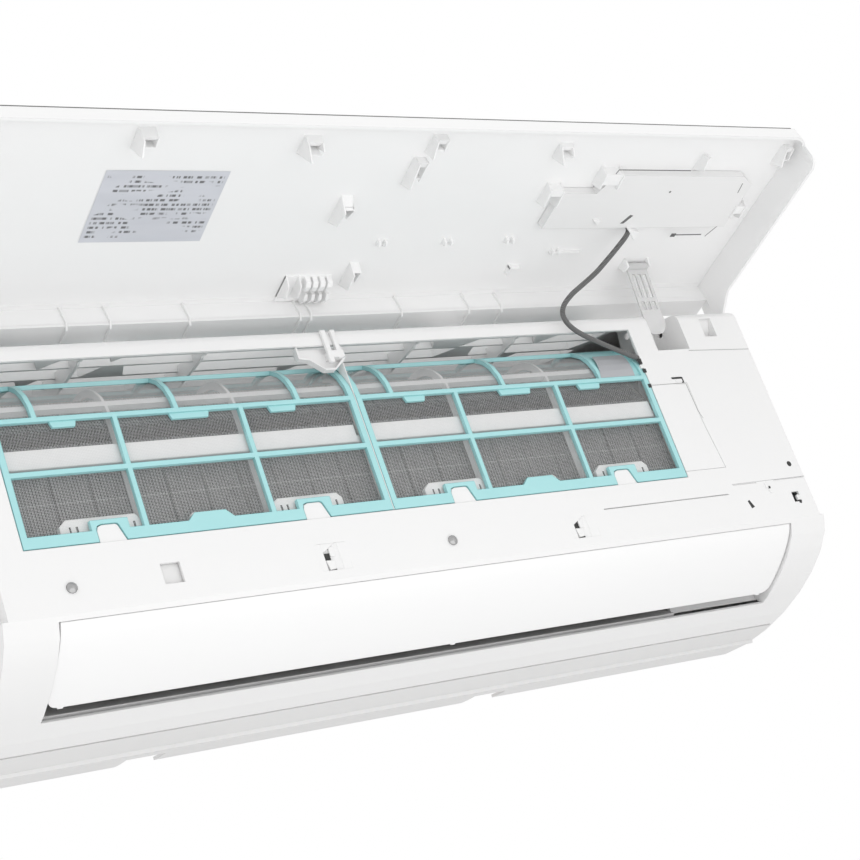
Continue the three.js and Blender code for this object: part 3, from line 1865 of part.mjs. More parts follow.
function casingScrew(place) {
  const shank = -shellWall - 2 * clearance;
  const profile = [
    [0, shank],
    [1.8, shank],
    [1.8, clearance],
    [4.2, clearance],
    [4.2, 1.4],
    [2.6, 2.8],
    [0, 3],
  ];
  const lathe = new THREE.LatheGeometry(
    profile.map(([radius, height]) => new THREE.Vector2(radius, height)),
    12,
  );
  lathe.applyMatrix4(new THREE.Matrix4().makeRotationX(Math.PI / 2));
  lathe.applyMatrix4(frontView.clone().setPosition(new THREE.Vector3(place, ...front(-screwDrop))));
  return solidOf(lathe);
}

// Fan drive

const fanCentre = [-fanDepth, -fanDrop];

function stubShaft(from, to) {
  return rod(fanCentre, shaftRadius, from, to, 16);
}

function fanBush() {
  const from = scrollWallStart - bearingWall - 2;
  const to = scrollWallStart + 2;
  return cut(
    rod(fanCentre, bushRadius, from, to, 24),
    rod(fanCentre, shaftRadius + clearance, from - overrun, to + overrun, 16),
  );
}

function fanMotor() {
  const lathe = new THREE.LatheGeometry(
    [
      [0, 0],
      [motorRadius * 0.3, 0],
      [motorRadius * 0.34, 5],
      [motorRadius * 0.86, 8],
      [motorRadius, 14],
      [motorRadius, motorLength - 12],
      [motorRadius * 0.86, motorLength - 5],
      [motorRadius * 0.3, motorLength],
      [0, motorLength],
    ].map(([radius, height]) => new THREE.Vector2(radius, height)),
    20,
  );
  lathe.applyMatrix4(new THREE.Matrix4().makeRotationZ(-Math.PI / 2));
  lathe.translate(motorStart, ...fanCentre);
  return cut(
    solidOf(lathe),
    rod(fanCentre, shaftRadius + clearance, motorStart - overrun, motorStart + motorLength / 2, 16),
  );
}

const clampWidth = 12;
const clampThickness = 2;

// Half ring over the motor, with feet on the saddles
function motorClamp() {
  const from = motorStart + motorLength / 2 - clampWidth / 2;
  const band = (radius) => rod(fanCentre, radius, from, from + clampWidth, 32);
  const ring = cut(
    band(motorRadius + clearance + clampThickness),
    rod(fanCentre, motorRadius + clearance, from - 1, from + clampWidth + 1, 32),
  );
  const lower = block(
    from - 1,
    from + clampWidth + 1,
    -frontDepth,
    0,
    -top,
    -fanDrop - motorRadius * 0.36,
  );
  const strap = cut(ring, lower);
  const seat = -fanDrop - motorRadius / 2 + clearance;
  const feet = [-1, 1].map((side) => {
    const near = -fanDepth + side * (motorRadius * 0.9);
    const far = -fanDepth + side * (motorRadius + clampThickness + 3);
    return cut(
      block(
        motorStart + 4,
        motorStart + motorLength - 5,
        Math.min(near, far),
        Math.max(near, far),
        seat,
        seat + clampThickness,
      ),
      rod(fanCentre, motorRadius + clearance, motorStart - 1, motorStart + motorLength + 1, 32),
    );
  });
  const legs = [-1, 1].map((side) => {
    const near = -fanDepth + side * (motorRadius + clearance + clampThickness);
    const mid = -fanDepth + side * (motorRadius * 0.92);
    return cut(
      block(from, from + clampWidth, Math.min(near, mid), Math.max(near, mid), seat, seat + 10),
      rod(fanCentre, motorRadius + clearance, motorStart - 1, motorStart + motorLength + 1, 32),
    );
  });
  return join(strap, feet, legs);
}

function louverMotor() {
  const from = louverEnd + 1.5 + shellWall + clearance;
  const body = rod(louverHinge, 8.5, from, from + 17, 20);
  const ears = alongX(
    rounded([
      [louverHinge[0] - 4, louverHinge[1] - 4],
      [louverHinge[0] + 4, louverHinge[1] - 4],
      [louverHinge[0] + 4, louverHinge[1] + 17, 3],
      [louverHinge[0] - 4, louverHinge[1] + 17, 3],
    ]),
    from,
    from + 1.5,
  );
  const bore = rod(louverHinge, louverPinRadius + clearance, from - overrun, from + 8, 12);
  return cut(join(body, ears), bore);
}

// Refrigerant pipes: out of the evaporator, down behind the motor and along the channel at the back

const pipeEnd = -40;
const gasDrop = 131.5;
const liquidDrop = 113.2;

function pipeRoute(start, column, depth, drop) {
  return [
    [coilEnd + endPlate + clearance, start[0], start[1]],
    [coilEnd + 8, start[0], start[1]],
    [column - 4, start[0] + 3, start[1] - 1],
    [column, (start[0] + depth) / 2 + 2, start[1] - 6],
    [column, depth, start[1] - 24],
    [column, depth, -fanDrop],
    [column, depth, -drop + pipeBend],
    [column - pipeBend * 0.3, depth, -drop + pipeBend * 0.3],
    [column - pipeBend, depth, -drop],
    [column - 4 * pipeBend, depth, -drop],
    [pipeEnd, depth, -drop],
  ];
}

const gasStart = slabPoint(slabs.coil_rear, coilThickness / 2, rearSlabLength * 0.9);
const liquidStart = slabPoint(slabs.coil_rear, coilThickness / 2, rearSlabLength * 0.42);
const gasColumn = motorStart + motorLength * 0.7;
const liquidColumn = motorStart + motorLength * 0.4;
const pipeDepth = -15;

function gasPipe() {
  return tube(pipeRoute(gasStart, gasColumn, pipeDepth, gasDrop), gasPipeRadius, 8, 20);
}

function liquidPipe() {
  return tube(pipeRoute(liquidStart, liquidColumn, pipeDepth, liquidDrop), liquidPipeRadius, 6, 26);
}

function flareNut(radius, pipe, drop) {
  const hex = rod([pipeDepth, -drop], radius, pipeEnd - 4, pipeEnd + 14, 6);
  return cut(
    hex,
    rod([pipeDepth, -drop], pipe + clearance, pipeEnd - overrun, pipeEnd + 2 * overrun, 12),
  );
}

function pipeHoles() {
  return [gasColumn, liquidColumn].map((column) =>
    block(
      column - pipeBend / 2,
      column + pipeBend / 3,
      pipeDepth - 7,
      pipeDepth + 7,
      -channelTop - 2,
      -channelTop + 2 * shellWall,
    ),
  );
}

const pipeClampStart = 70;
const pipeClampWidth = 18;

function pipeClamp() {
  const body = block(
    pipeClampStart,
    pipeClampStart + pipeClampWidth,
    pipeDepth - gasPipeRadius - 3,
    pipeDepth + 2,
    -gasDrop - gasPipeRadius - 3,
    -channelTop - clearance,
  );
  return cut(
    body,
    tube([[0, pipeDepth, -gasDrop], [130, pipeDepth, -gasDrop]], gasPipeRadius + clearance, 12, 2),
    tube(
      [[0, pipeDepth, -liquidDrop], [130, pipeDepth, -liquidDrop]],
      liquidPipeRadius + clearance,
      12,
      2,
    ),
    block(
      0,
      2 * pipeClampStart,
      pipeDepth,
      0,
      -gasDrop - gasPipeRadius * 0.8,
      -gasDrop + gasPipeRadius * 0.8,
    ),
    block(
      0,
      2 * pipeClampStart,
      pipeDepth,
      0,
      -liquidDrop - liquidPipeRadius * 0.8,
      -liquidDrop + liquidPipeRadius * 0.8,
    ),
  );
}

// Wall plate: pressed steel with windows, screw holes and hooks for the chassis

const plateScrewRadius = 3;
const plateScrewShares = [
  [-0.44, 0.38],
  [0.44, 0.38],
  [-0.44, -0.38],
  [0.44, -0.38],
  [0, 0.4],
  [0, -0.4],
];
const plateWindowShares = [-0.26, 0.26];

function wallPlate() {
  const [wide, tall] = [plateWidth / 2, plateHeight / 2];
  const view = frame(axisX, axisZ, new THREE.Vector3());
  const sheet = prism(
    rounded([
      [-wide, -tall, plateHeight / 12],
      [wide, -tall, plateHeight / 12],
      [wide, tall, plateHeight / 12],
      [-wide, tall, plateHeight / 12],
    ]),
    0,
    plateThickness,
    view,
  );
  const windows = plateWindowShares.map((share) =>
    prism(
      rounded([
        [plateWidth * share - plateWidth / 8, -tall * 0.5, plateHeight / 12],
        [plateWidth * share + plateWidth / 8, -tall * 0.5, plateHeight / 12],
        [plateWidth * share + plateWidth / 8, tall * 0.35, plateHeight / 12],
        [plateWidth * share - plateWidth / 8, tall * 0.35, plateHeight / 12],
      ], 2),
      -overrun,
      overrun,
      view,
    ),
  );
  const holes = plateScrewShares.map(([x, z]) =>
    prism(circle(plateWidth * x, plateHeight * z, plateScrewRadius, 8), -overrun, overrun, view),
  );
  const hooks = hookPlaceShares.flatMap((share) => {
    const [left, right] = [plateWidth * share - hookWidth / 2, plateWidth * share + hookWidth / 2];
    const reach = rearFront - clearance - plateThickness;
    return [
      block(left, right, reach, -plateThickness / 2, hookRise, hookRise + plateThickness),
      block(left, right, reach, reach + plateThickness, hookRise, hookRise + hookHeight),
    ];
  });
  return join(cut(sheet, windows, holes), hooks);
}

// Assembly

const white = { color: 0xf0f0ef, roughness: 0.45 };
const cyan = { color: 0x9fdcdc, roughness: 0.4 };
const greyNet = { color: 0x8f8f8f, roughness: 0.8 };
const aluminium = { color: 0xc4c8ca, roughness: 0.4, metalness: 0.9 };
const steel = { color: 0xb9bcbe, roughness: 0.45, metalness: 0.9 };
const copper = { color: 0xb8734a, roughness: 0.35, metalness: 1 };
const brass = { color: 0xc9a54c, roughness: 0.35, metalness: 1 };
const black = { color: 0x2a2b2d, roughness: 0.55 };
const green = { color: 0x2e6b45, roughness: 0.5 };
const clear = { color: 0xe6eaea, roughness: 0.3, opacity: 0.6, transparent: true };
const grey = { color: 0x808080, roughness: 0.55 };
const chrome = { color: 0xd8d8d8, roughness: 0.2, metalness: 1 };

const airConditioner = new THREE.Group();

function add(name, solid, look) {
  const { numProp, vertProperties, triVerts } = solid.simplify(weld).getMesh();
  const positions = new Float32Array((vertProperties.length / numProp) * 3);
  for (let i = 0; i < positions.length / 3; i += 1) {
    positions.set(vertProperties.subarray(i * numProp, i * numProp + 3), 3 * i);
  }
  const geometry = new THREE.BufferGeometry();
  geometry.setAttribute("position", new THREE.BufferAttribute(positions, 3));
  geometry.setIndex(new THREE.BufferAttribute(new Uint32Array(triVerts), 1));
  geometry.computeVertexNormals();
  const mesh = new THREE.Mesh(geometry, new THREE.MeshStandardMaterial({ metalness: 0, ...look }));
  mesh.name = name;
  airConditioner.add(mesh);
}

add("wall_plate", wallPlate(), steel);
add("rear_chassis", cut(rearChassis(), pipeHoles()), white);
add("coil_post", coilPost(), white);
add("front_casing", frontCasing(), white);
add("centre_bracket", centreBracket(), white);
add("wiring_cover", wiringCover(), white);
add("front_panel", frontPanel(), white);
add("display_cover", displayCover(), white);
add("display_board", displayBoard(), green);
add("display_cable", displayCable(), grey);
add("stay_arm", stayArm(), clear);
["left", "right"].forEach((side, i) => {
  add(`filter_frame_${side}`, filterFrame(filterStarts[i]), cyan);
  add(`filter_mesh_${side}`, filterNet(filterStarts[i]), greyNet);
});
Object.entries(slabs).forEach(([name, slab]) =>
  add(name, prism(combOutline(), 0, slab.length, slab.place), aluminium),
);
add("coil_end_plate_left", coilEndPlate(coilStart, -1), aluminium);
add("coil_end_plate_right", coilEndPlate(coilEnd, 1), aluminium);
add("drain_pan", drainPan(), white);
add("fan_rotor", fanRotor(), black);
add("fan_shaft", stubShaft(fanStart - bearingGap - bearingWall - 2, fanStart + hubLength), steel);
add("motor_shaft", stubShaft(fanEnd - hubLength, motorStart + motorLength / 3), steel);
add("fan_bush", fanBush(), black);
add("fan_motor", fanMotor(), steel);
add("motor_clamp", motorClamp(), steel);
add("louver", louver(), white);
add("louver_motor", louverMotor(), steel);
vanePlaces.forEach((place, i) => add(`vane_${i + 1}`, vane(place), white));
add("vane_link", vaneLink(), white);
add("electrical_box", electricalBox(), white);
add("main_board", mainBoard(), green);
add("terminal_block", terminalBlock(), black);
add("room_sensor", roomSensor(), black);
add("casing_screw_left", casingScrew(screwPlaces[0]), chrome);
add("casing_screw_right", casingScrew(screwPlaces[1]), chrome);
add("gas_pipe", gasPipe(), copper);
add("liquid_pipe", liquidPipe(), copper);
add("gas_nut", flareNut(10, gasPipeRadius, gasDrop), brass);
add("liquid_nut", flareNut(7, liquidPipeRadius, liquidDrop), brass);
add("pipe_clamp", pipeClamp(), white);

export default airConditioner;
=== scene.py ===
import json
import math

import bmesh
import bpy
from mathutils import Matrix, Vector


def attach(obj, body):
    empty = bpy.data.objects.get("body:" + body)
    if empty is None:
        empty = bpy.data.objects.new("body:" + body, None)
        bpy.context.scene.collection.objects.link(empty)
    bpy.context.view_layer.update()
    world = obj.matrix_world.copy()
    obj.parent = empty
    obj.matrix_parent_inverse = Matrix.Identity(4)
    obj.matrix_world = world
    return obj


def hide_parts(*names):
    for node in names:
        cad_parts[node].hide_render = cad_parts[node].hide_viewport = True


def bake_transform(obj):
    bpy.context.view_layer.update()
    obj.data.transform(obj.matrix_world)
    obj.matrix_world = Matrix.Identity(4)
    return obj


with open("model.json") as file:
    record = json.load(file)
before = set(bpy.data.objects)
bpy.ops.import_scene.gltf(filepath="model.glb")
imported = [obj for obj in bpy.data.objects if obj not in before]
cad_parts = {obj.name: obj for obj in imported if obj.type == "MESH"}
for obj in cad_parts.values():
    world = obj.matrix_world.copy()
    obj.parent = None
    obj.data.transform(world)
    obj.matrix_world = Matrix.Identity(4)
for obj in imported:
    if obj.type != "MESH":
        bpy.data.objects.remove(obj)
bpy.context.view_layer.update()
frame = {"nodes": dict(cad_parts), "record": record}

# Camera, from the straight edges that the photograph shows
CAMERA_PLACE = Vector((-0.944433, -1.427182, -0.267941))
CAMERA_RIGHT = Vector((0.80829019, -0.54405056, -0.22511321))
CAMERA_DOWN = Vector((-0.06789969, 0.29365327, -0.95349745))
CAMERA_FORWARD = Vector((0.58485605, 0.78598776, 0.20041619))
LENS = 83.459
SENSOR = 36

# Measures that the part's source gives too, in metres
FRONT_DEPTH = 0.165
FRONT_LEAN = math.radians(10.5)
SILL_DROP = 0.0075
FILTER_WIDTH = 0.3127
FILTER_PITCH = 0.3142
FILTER_START = -0.3702
FILTER_THICKNESS = 0.0035
FILTER_RISE = 0.1
FILTER_ARC = 0.046
FILTER_TAIL = math.radians(104.5)
PANEL_TILT = math.radians(24.7)
PANEL_ROOT = Vector((0, -0.0986, 0.1912))
PANEL_AWAY = Vector((0, -math.cos(PANEL_TILT), math.sin(PANEL_TILT)))
PANEL_INWARD = Vector((0, -math.sin(PANEL_TILT), -math.cos(PANEL_TILT)))
LABEL_LEFT, LABEL_RIGHT = -0.2806, -0.1774
LABEL_LOW, LABEL_HIGH = 0.07, 0.142
LABEL_LIFT = 0.0003
CABLE_RADIUS = 0.0023
CABLE_ROUTE = [
    (0.254, -0.1742, 0.2236),
    (0.2525, -0.1762, 0.2195),
    (0.247, -0.1775, 0.2135),
    (0.238, -0.175, 0.2055),
    (0.2265, -0.17, 0.1955),
    (0.213, -0.1645, 0.1845),
    (0.199, -0.1595, 0.1755),
    (0.187, -0.1555, 0.168),
    (0.1785, -0.152, 0.16),
    (0.176, -0.1498, 0.1525),
    (0.179, -0.1484, 0.145),
    (0.187, -0.1474, 0.1378),
    (0.199, -0.1464, 0.1314),
    (0.214, -0.1454, 0.1252),
    (0.229, -0.1444, 0.1194),
    (0.243, -0.1432, 0.1144),
    (0.251, -0.1422, 0.1116),
    (0.2568, -0.1414, 0.1102),
]


def place_camera():
    data = bpy.data.cameras.new("camera")
    data.lens = LENS
    data.sensor_width = SENSOR
    data.clip_end = 50
    camera = bpy.data.objects.new("camera", data)
    turn = Matrix((CAMERA_RIGHT, -CAMERA_DOWN, -CAMERA_FORWARD)).transposed()
    camera.matrix_world = Matrix.Translation(CAMERA_PLACE) @ turn.to_4x4()
    bpy.context.scene.collection.objects.link(camera)
    bpy.context.scene.camera = camera


# Shader maths

OPERATIONS = {"add": "ADD", "sub": "SUBTRACT", "mul": "MULTIPLY", "truediv": "DIVIDE", "pow": "POWER"}


class Link:
    """A number, vector or colour that leaves a node, with the arithmetic that makes Math nodes"""

    def __init__(self, finish, socket):
        self.finish, self.socket = finish, socket

    def xyz(self):
        parts = self.finish.node("ShaderNodeSeparateXYZ", Vector=self)
        return [parts.output(axis) for axis in "XYZ"]

    def output(self, name):
        return Link(self.finish, self.socket.node.outputs[name])

    def clamped(self, low, high):
        return self.finish.math("MINIMUM", self.finish.math("MAXIMUM", self, low), high)


def _arithmetic(operation, swapped):
    def method(self, other):
        pair = (other, self) if swapped else (self, other)
        return self.finish.math(operation, *pair)

    return method


for word, operation in OPERATIONS.items():
    setattr(Link, f"__{word}__", _arithmetic(operation, False))
    setattr(Link, f"__r{word}__", _arithmetic(operation, True))


class Finish:
    """A material built from nodes round one Principled shader"""

    def __init__(self, name, **sockets):
        self.material = bpy.data.materials.new(name)
        self.material.use_nodes = True
        self.tree = self.material.node_tree
        self.shader = next(n for n in self.tree.nodes if n.type == "BSDF_PRINCIPLED")
        for socket, value in sockets.items():
            self.shader.inputs[socket.replace("_", " ").title().replace("Ior", "IOR")].default_value = value

    def node(self, kind, settings=None, **inputs):
        node = self.tree.nodes.new(kind)
        for name, value in (settings or {}).items():
            setattr(node, name, value)
        for name, value in inputs.items():
            self.plug(node.inputs[name.replace("_", " ")], value)
        return Link(self, next(o for o in node.outputs if o.enabled))

    def plug(self, socket, value):
        if isinstance(value, Link):
            self.tree.links.new(value.socket, socket)
        else:
            socket.default_value = value

    def math(self, operation, *values):
        node = self.tree.nodes.new("ShaderNodeMath")
        node.operation = operation
        for socket, value in zip(node.inputs, values):
            self.plug(socket, value)
        return Link(self, node.outputs[0])

    def mix(self, factor, low, high):
        node = self.tree.nodes.new("ShaderNodeMix")
        node.data_type = "RGBA"
        self.plug(node.inputs["Factor"], factor)
        colours = [socket for socket in node.inputs if socket.type == "RGBA"]
        self.plug(colours[0], low)
        self.plug(colours[1], high)
        return Link(self, next(o for o in node.outputs if o.type == "RGBA"))

    def place(self):
        return self.node("ShaderNodeTexCoord").output("Object")

    def noise(self, scale, detail=2.0, stretch=(1, 1, 1)):
        at = self.node("ShaderNodeMapping", Vector=self.place(), Scale=stretch)
        return self.node("ShaderNodeTexNoise", Vector=at, Scale=scale, Detail=detail)

    def feed(self, **values):
        for name, value in values.items():
            self.plug(self.shader.inputs[name.replace("_", " ")], value)
        return self

    def relief(self, height, strength, edge=0.0):
        inputs = {"Height": height, "Strength": strength, "Distance": 0.001}
        if edge:
            inputs["Normal"] = self.node("ShaderNodeBevel", {"samples": 6}, Radius=edge)
        return self.feed(Normal=self.node("ShaderNodeBump", **inputs))


def edge_shade_mask(finish, radius, reach):
    """Runs from 0 on open faces to 1 along edges, a mask for painted shade"""
    soft = finish.node("ShaderNodeBevel", {"samples": 6}, Radius=radius)
    flat = finish.node("ShaderNodeNewGeometry").output("Normal")
    likeness = finish.node("ShaderNodeVectorMath", {"operation": "DOT_PRODUCT"})
    for socket, link in zip(likeness.socket.node.inputs, (soft, flat)):
        finish.plug(socket, link)
    return ((1 - likeness.output("Value")) * reach).clamped(0, 1)


def grey(level, warmth=0.0):
    return (level * (1 + warmth), level, level * (1 - warmth), 1)


def ripple(link, pitch):
    """Runs from 0 to 1 and back over each pitch"""
    return link.finish.math("PINGPONG", link, pitch / 2) * (2 / pitch)


def moulded(name, colour, shade, roughness, edge=0.0006, grain=0.06, **sockets):
    """Injection-moulded plastic: a faint cloud of tone, fine grain and softly rounded edges"""
    finish = Finish(name, **sockets)
    cloud = finish.noise(9, 3)
    flow = finish.noise(40, 4, (1, 6, 6))
    finish.feed(Base_Color=finish.mix((cloud * 0.7 + flow * 0.3).clamped(0, 1), colour, shade))
    finish.feed(Roughness=(flow * 0.1 + (roughness - 0.05)))
    return finish.relief(finish.noise(2600, 2) * 0.35 + cloud * 0.1, grain, edge).material


def filter_plastic():
    """Pale cyan moulding, with painted shade in a deeper teal along its edges and in its corners"""
    finish = Finish("filter_cyan", subsurface_weight=0.0, coat_weight=0.1)
    cloud = finish.noise(30, 3)
    body = finish.mix(cloud, (0.42, 0.74, 0.75, 1), (0.37, 0.69, 0.71, 1))
    # Painted shade: deep teal along the edges and in the corners
    finish.feed(Base_Color=finish.mix(edge_shade_mask(finish, 0.0007, 5), body, (0.17, 0.53, 0.55, 1)))
    finish.feed(Roughness=cloud * 0.1 + 0.33)
    return finish.relief(finish.noise(2200, 2), 0.05, 0.0006).material


def metal(name, colour, shade, roughness, stretch=(1, 1, 1), edge=0.0004):
    """Drawn or pressed metal with fine lines along its length"""
    finish = Finish(name, metallic=1.0)
    lines = finish.noise(700, 3, stretch)
    stains = finish.noise(24, 4)
    finish.feed(Base_Color=finish.mix((stains * 0.8 + lines * 0.2).clamped(0, 1), colour, shade))
    finish.feed(Roughness=(stains * 0.16 + lines * 0.1 + (roughness - 0.12)))
    return finish.relief(lines, 0.05, edge).material


FIN_PITCH = 0.0026
TUBE_PITCH = 0.021
TUBE_SHIFT = 0.004
# Height from which the fins and their gaps are painted lighter, as painted light from above
LIT_FINS_FROM = 0.1


def finned():
    """The evaporator's face: thin fins across gaps of painted shade, the collars of its tube rows, and
    painted light on everything above a set height
    """
    finish = Finish("fins_aluminium", metallic=0.6)
    x, _, z = finish.place().xyz()
    fins = ripple(x, FIN_PITCH)
    rows = ripple(z + TUBE_SHIFT, TUBE_PITCH)
    collar = (rows * 14 - 13).clamped(0, 1)
    waver = finish.noise(60, 3, (6, 1, 1))
    tone = (fins * 0.75 + waver * 0.5 + collar * 0.5 - 0.25).clamped(0, 1)
    # Painted light: the fins and gaps above the set height are lighter
    lit_share = ((z - LIT_FINS_FROM) * 40).clamped(0, 1)
    # Painted shade: the gaps between fins go near black
    shaded_fins = finish.mix(tone, grey(0.035), grey(0.33))
    lit_fins = finish.mix(tone, grey(0.42), grey(0.74))
    finish.feed(Base_Color=finish.mix(lit_share, shaded_fins, lit_fins), Roughness=waver * 0.2 + 0.4)
    return finish.relief(fins, 0.5).material


def netting():
    """Fine polypropylene thread"""
    finish = Finish("net_thread", roughness=0.6)
    tone = finish.noise(180, 3)
    finish.feed(Base_Color=finish.mix(tone, grey(0.62), grey(0.8)))
    return finish.relief(finish.noise(5000, 2), 0.2).material


PLAIT_PITCH = 0.0016


def braided():
    """The cable's woven sleeve"""
    finish = Finish("cable_sleeve", roughness=0.6)
    x, y, z = finish.place().xyz()
    plait = ripple(x + z - y, PLAIT_PITCH) * ripple(x - z + y, PLAIT_PITCH)
    finish.feed(Base_Color=finish.mix((plait * 1.4).clamped(0, 1), grey(0.1), grey(0.27)))
    return finish.relief(plait, 0.6).material


def milky():
    """The stay arm's translucent plastic"""
    finish = Finish("stay_clear", roughness=0.25, transmission_weight=0.35, ior=1.45)
    cloud = finish.noise(60, 3)
    finish.feed(Base_Color=finish.mix(cloud, grey(0.9), grey(0.8)))
    return finish.relief(cloud, 0.05, 0.0004).material


TRACK_PITCH = 0.005
TRACK_ROW_PITCH = 0.004


def lacquered_board():
    """Circuit board under green lacquer, with a plain grid of tracks"""
    finish = Finish("board_green", roughness=0.35)
    x, _, z = finish.place().xyz()
    tracks = (ripple(x, TRACK_PITCH) * ripple(z, TRACK_ROW_PITCH) * 4 - 2.4).clamped(0, 1)
    finish.feed(Base_Color=finish.mix(tracks, (0.02, 0.13, 0.05, 1), (0.05, 0.24, 0.09, 1)))
    return finish.relief(tracks, 0.15, 0.0003).material


RULE_PITCH = 0.0046
RULES_PER_METRE = 217
BREAKS_PER_METRE = 260
SIDE_MARGIN = 0.0026
END_MARGIN = 0.0035


def silvered():
    """A metallised label with a plain design of broken rules and small blocks"""
    middle, half = (LABEL_LEFT + LABEL_RIGHT) / 2, (LABEL_RIGHT - LABEL_LEFT) / 2
    centre, reach = (LABEL_LOW + LABEL_HIGH) / 2, (LABEL_HIGH - LABEL_LOW) / 2
    finish = Finish("label_film", metallic=0.2)
    sheen = finish.noise(14, 2, (1, 5, 1))
    x, y, z = finish.place().xyz()
    along = (z - PANEL_ROOT.z) * PANEL_AWAY.z + (y - PANEL_ROOT.y) * PANEL_AWAY.y
    rules = (ripple(along, RULE_PITCH) * 5 - 2).clamped(0, 1)
    row = finish.math("FLOOR", along * RULES_PER_METRE)
    across = finish.node("ShaderNodeCombineXYZ", X=x * BREAKS_PER_METRE, Y=row, Z=0.0)
    broken = (finish.node("ShaderNodeTexNoise", Vector=across, Scale=1, Detail=1) * 14 - 6.4).clamped(0, 1)
    blocks = (finish.noise(46, 1, (1, 1.6, 1.6)) * 16 - 7.4).clamped(0, 1)
    inside = ((half - SIDE_MARGIN - finish.math("ABSOLUTE", x - middle)) * 900).clamped(0, 1)
    within = ((reach - END_MARGIN - finish.math("ABSOLUTE", along - centre)) * 900).clamped(0, 1)
    ink = rules * broken * blocks * inside * within * 0.85
    film = finish.mix(sheen, (0.6, 0.61, 0.66, 1), (0.76, 0.77, 0.82, 1))
    finish.feed(Base_Color=finish.mix(ink, film, grey(0.09)), Roughness=sheen * 0.2 + 0.35)
    return finish.relief(finish.noise(900, 2), 0.04).material


# Painted light and shade: one white plastic in two copies, the casing's a little darker where it takes the
# most light, and the panel's and louver's lighter to make up for the shade on the panel's inner face
casing_white_shaded = moulded("casing_white_shaded", grey(0.86, 0.002), grey(0.84, 0.002), 0.45, coat_weight=0.08)
panel_white_lit = moulded("panel_white_lit", grey(0.93, 0.001), grey(0.91, 0.001), 0.4, coat_weight=0.15)
inner_white = moulded("inner_white", grey(0.8, 0.004), grey(0.75, 0.004), 0.55)
filter_cyan = filter_plastic()
dark_plastic = moulded("dark_plastic", grey(0.035), grey(0.02), 0.45)
soft_rubber = moulded("soft_rubber", grey(0.03), grey(0.018), 0.7, grain=0.2)
bracket_white = moulded("bracket_white", grey(0.86, 0.002), grey(0.83, 0.002), 0.42)
zinc_steel = metal("zinc_steel", grey(0.6), grey(0.47), 0.42, (1, 8, 8))
bright_chrome = metal("bright_chrome", grey(0.5), grey(0.34), 0.22)
copper = metal("copper_tube", (0.76, 0.4, 0.25, 1), (0.6, 0.27, 0.15, 1), 0.32, (1, 1, 8))
brass = metal("brass_nut", (0.72, 0.53, 0.22, 1), (0.6, 0.41, 0.15, 1), 0.3)
fin_aluminium = finned()
net_thread = netting()
sleeve = braided()
stay_clear = milky()
board_green = lacquered_board()
label_film = silvered()
# Dark grey for the marks of painted shade in the cover's gaps, and for the line along the panel's free edge
gap_grey = moulded("gap_grey", grey(0.17), grey(0.13), 0.6, edge=0.0)
# Grey for the sheet of painted shade in the right filter's upper corner
shade_sheet_grey = moulded("shade_sheet_grey", (0.46, 0.47, 0.49, 1), (0.4, 0.41, 0.43, 1), 0.35, edge=0.0)
seam_shade = moulded("seam_shade", grey(0.42), grey(0.36), 0.6, edge=0.0)
# Near-black for marks of painted shade in openings, gaps and slits
shade_dark = moulded("shade_dark", grey(0.045), grey(0.025), 0.7, edge=0.0)

VANES = [f"vane_{i}" for i in range(1, 9)]
INNER_MOULDINGS = ["rear_chassis", "drain_pan", "electrical_box", "vane_link", "pipe_clamp", "coil_post"]
NODE_FINISHES = {
    casing_white_shaded: ["front_casing", "wiring_cover"],
    panel_white_lit: ["front_panel", "louver"],
    inner_white: INNER_MOULDINGS + VANES,
    bracket_white: ["centre_bracket", "display_cover"],
    filter_cyan: ["filter_frame_left", "filter_frame_right"],
    dark_plastic: ["fan_rotor", "terminal_block", "room_sensor"],
    soft_rubber: ["fan_bush"],
    zinc_steel: ["wall_plate", "fan_shaft", "motor_shaft", "fan_motor", "motor_clamp", "louver_motor"],
    bright_chrome: ["casing_screw_left", "casing_screw_right"],
    copper: ["gas_pipe", "liquid_pipe"],
    brass: ["gas_nut", "liquid_nut"],
    fin_aluminium: ["coil_front", "coil_middle", "coil_rear", "coil_end_plate_left", "coil_end_plate_right"],
    board_green: ["display_board", "main_board"],
    stay_clear: ["stay_arm"],
}
# Nodes with round stretches, and the angle in degrees from which an edge of each stays sharp
ROUND_NODES = {
    "front_casing": 28, "front_panel": 24, "louver": 24, "rear_chassis": 24,
    "filter_frame_left": 22, "filter_frame_right": 22, "stay_arm": 30,
    "fan_motor": 24, "louver_motor": 24, "motor_clamp": 24, "fan_bush": 24,
    "fan_shaft": 30, "motor_shaft": 30,
    "gas_pipe": 50, "liquid_pipe": 65, "coil_end_plate_left": 40, "coil_end_plate_right": 40,
    "casing_screw_left": 40, "casing_screw_right": 40,
}
MERGE_REACH = 2e-6
FLAT_ANGLE = math.radians(0.4)


def body_of(node):
    return next(body for body, nodes in frame["record"]["behaviour"]["bodies"].items() if node in nodes)


def link_piece(name, mesh, material, body):
    piece = bpy.data.objects.new(name, mesh)
    bpy.context.scene.collection.objects.link(piece)
    mesh.materials.clear()
    mesh.materials.append(material)
    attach(piece, body)
    return piece


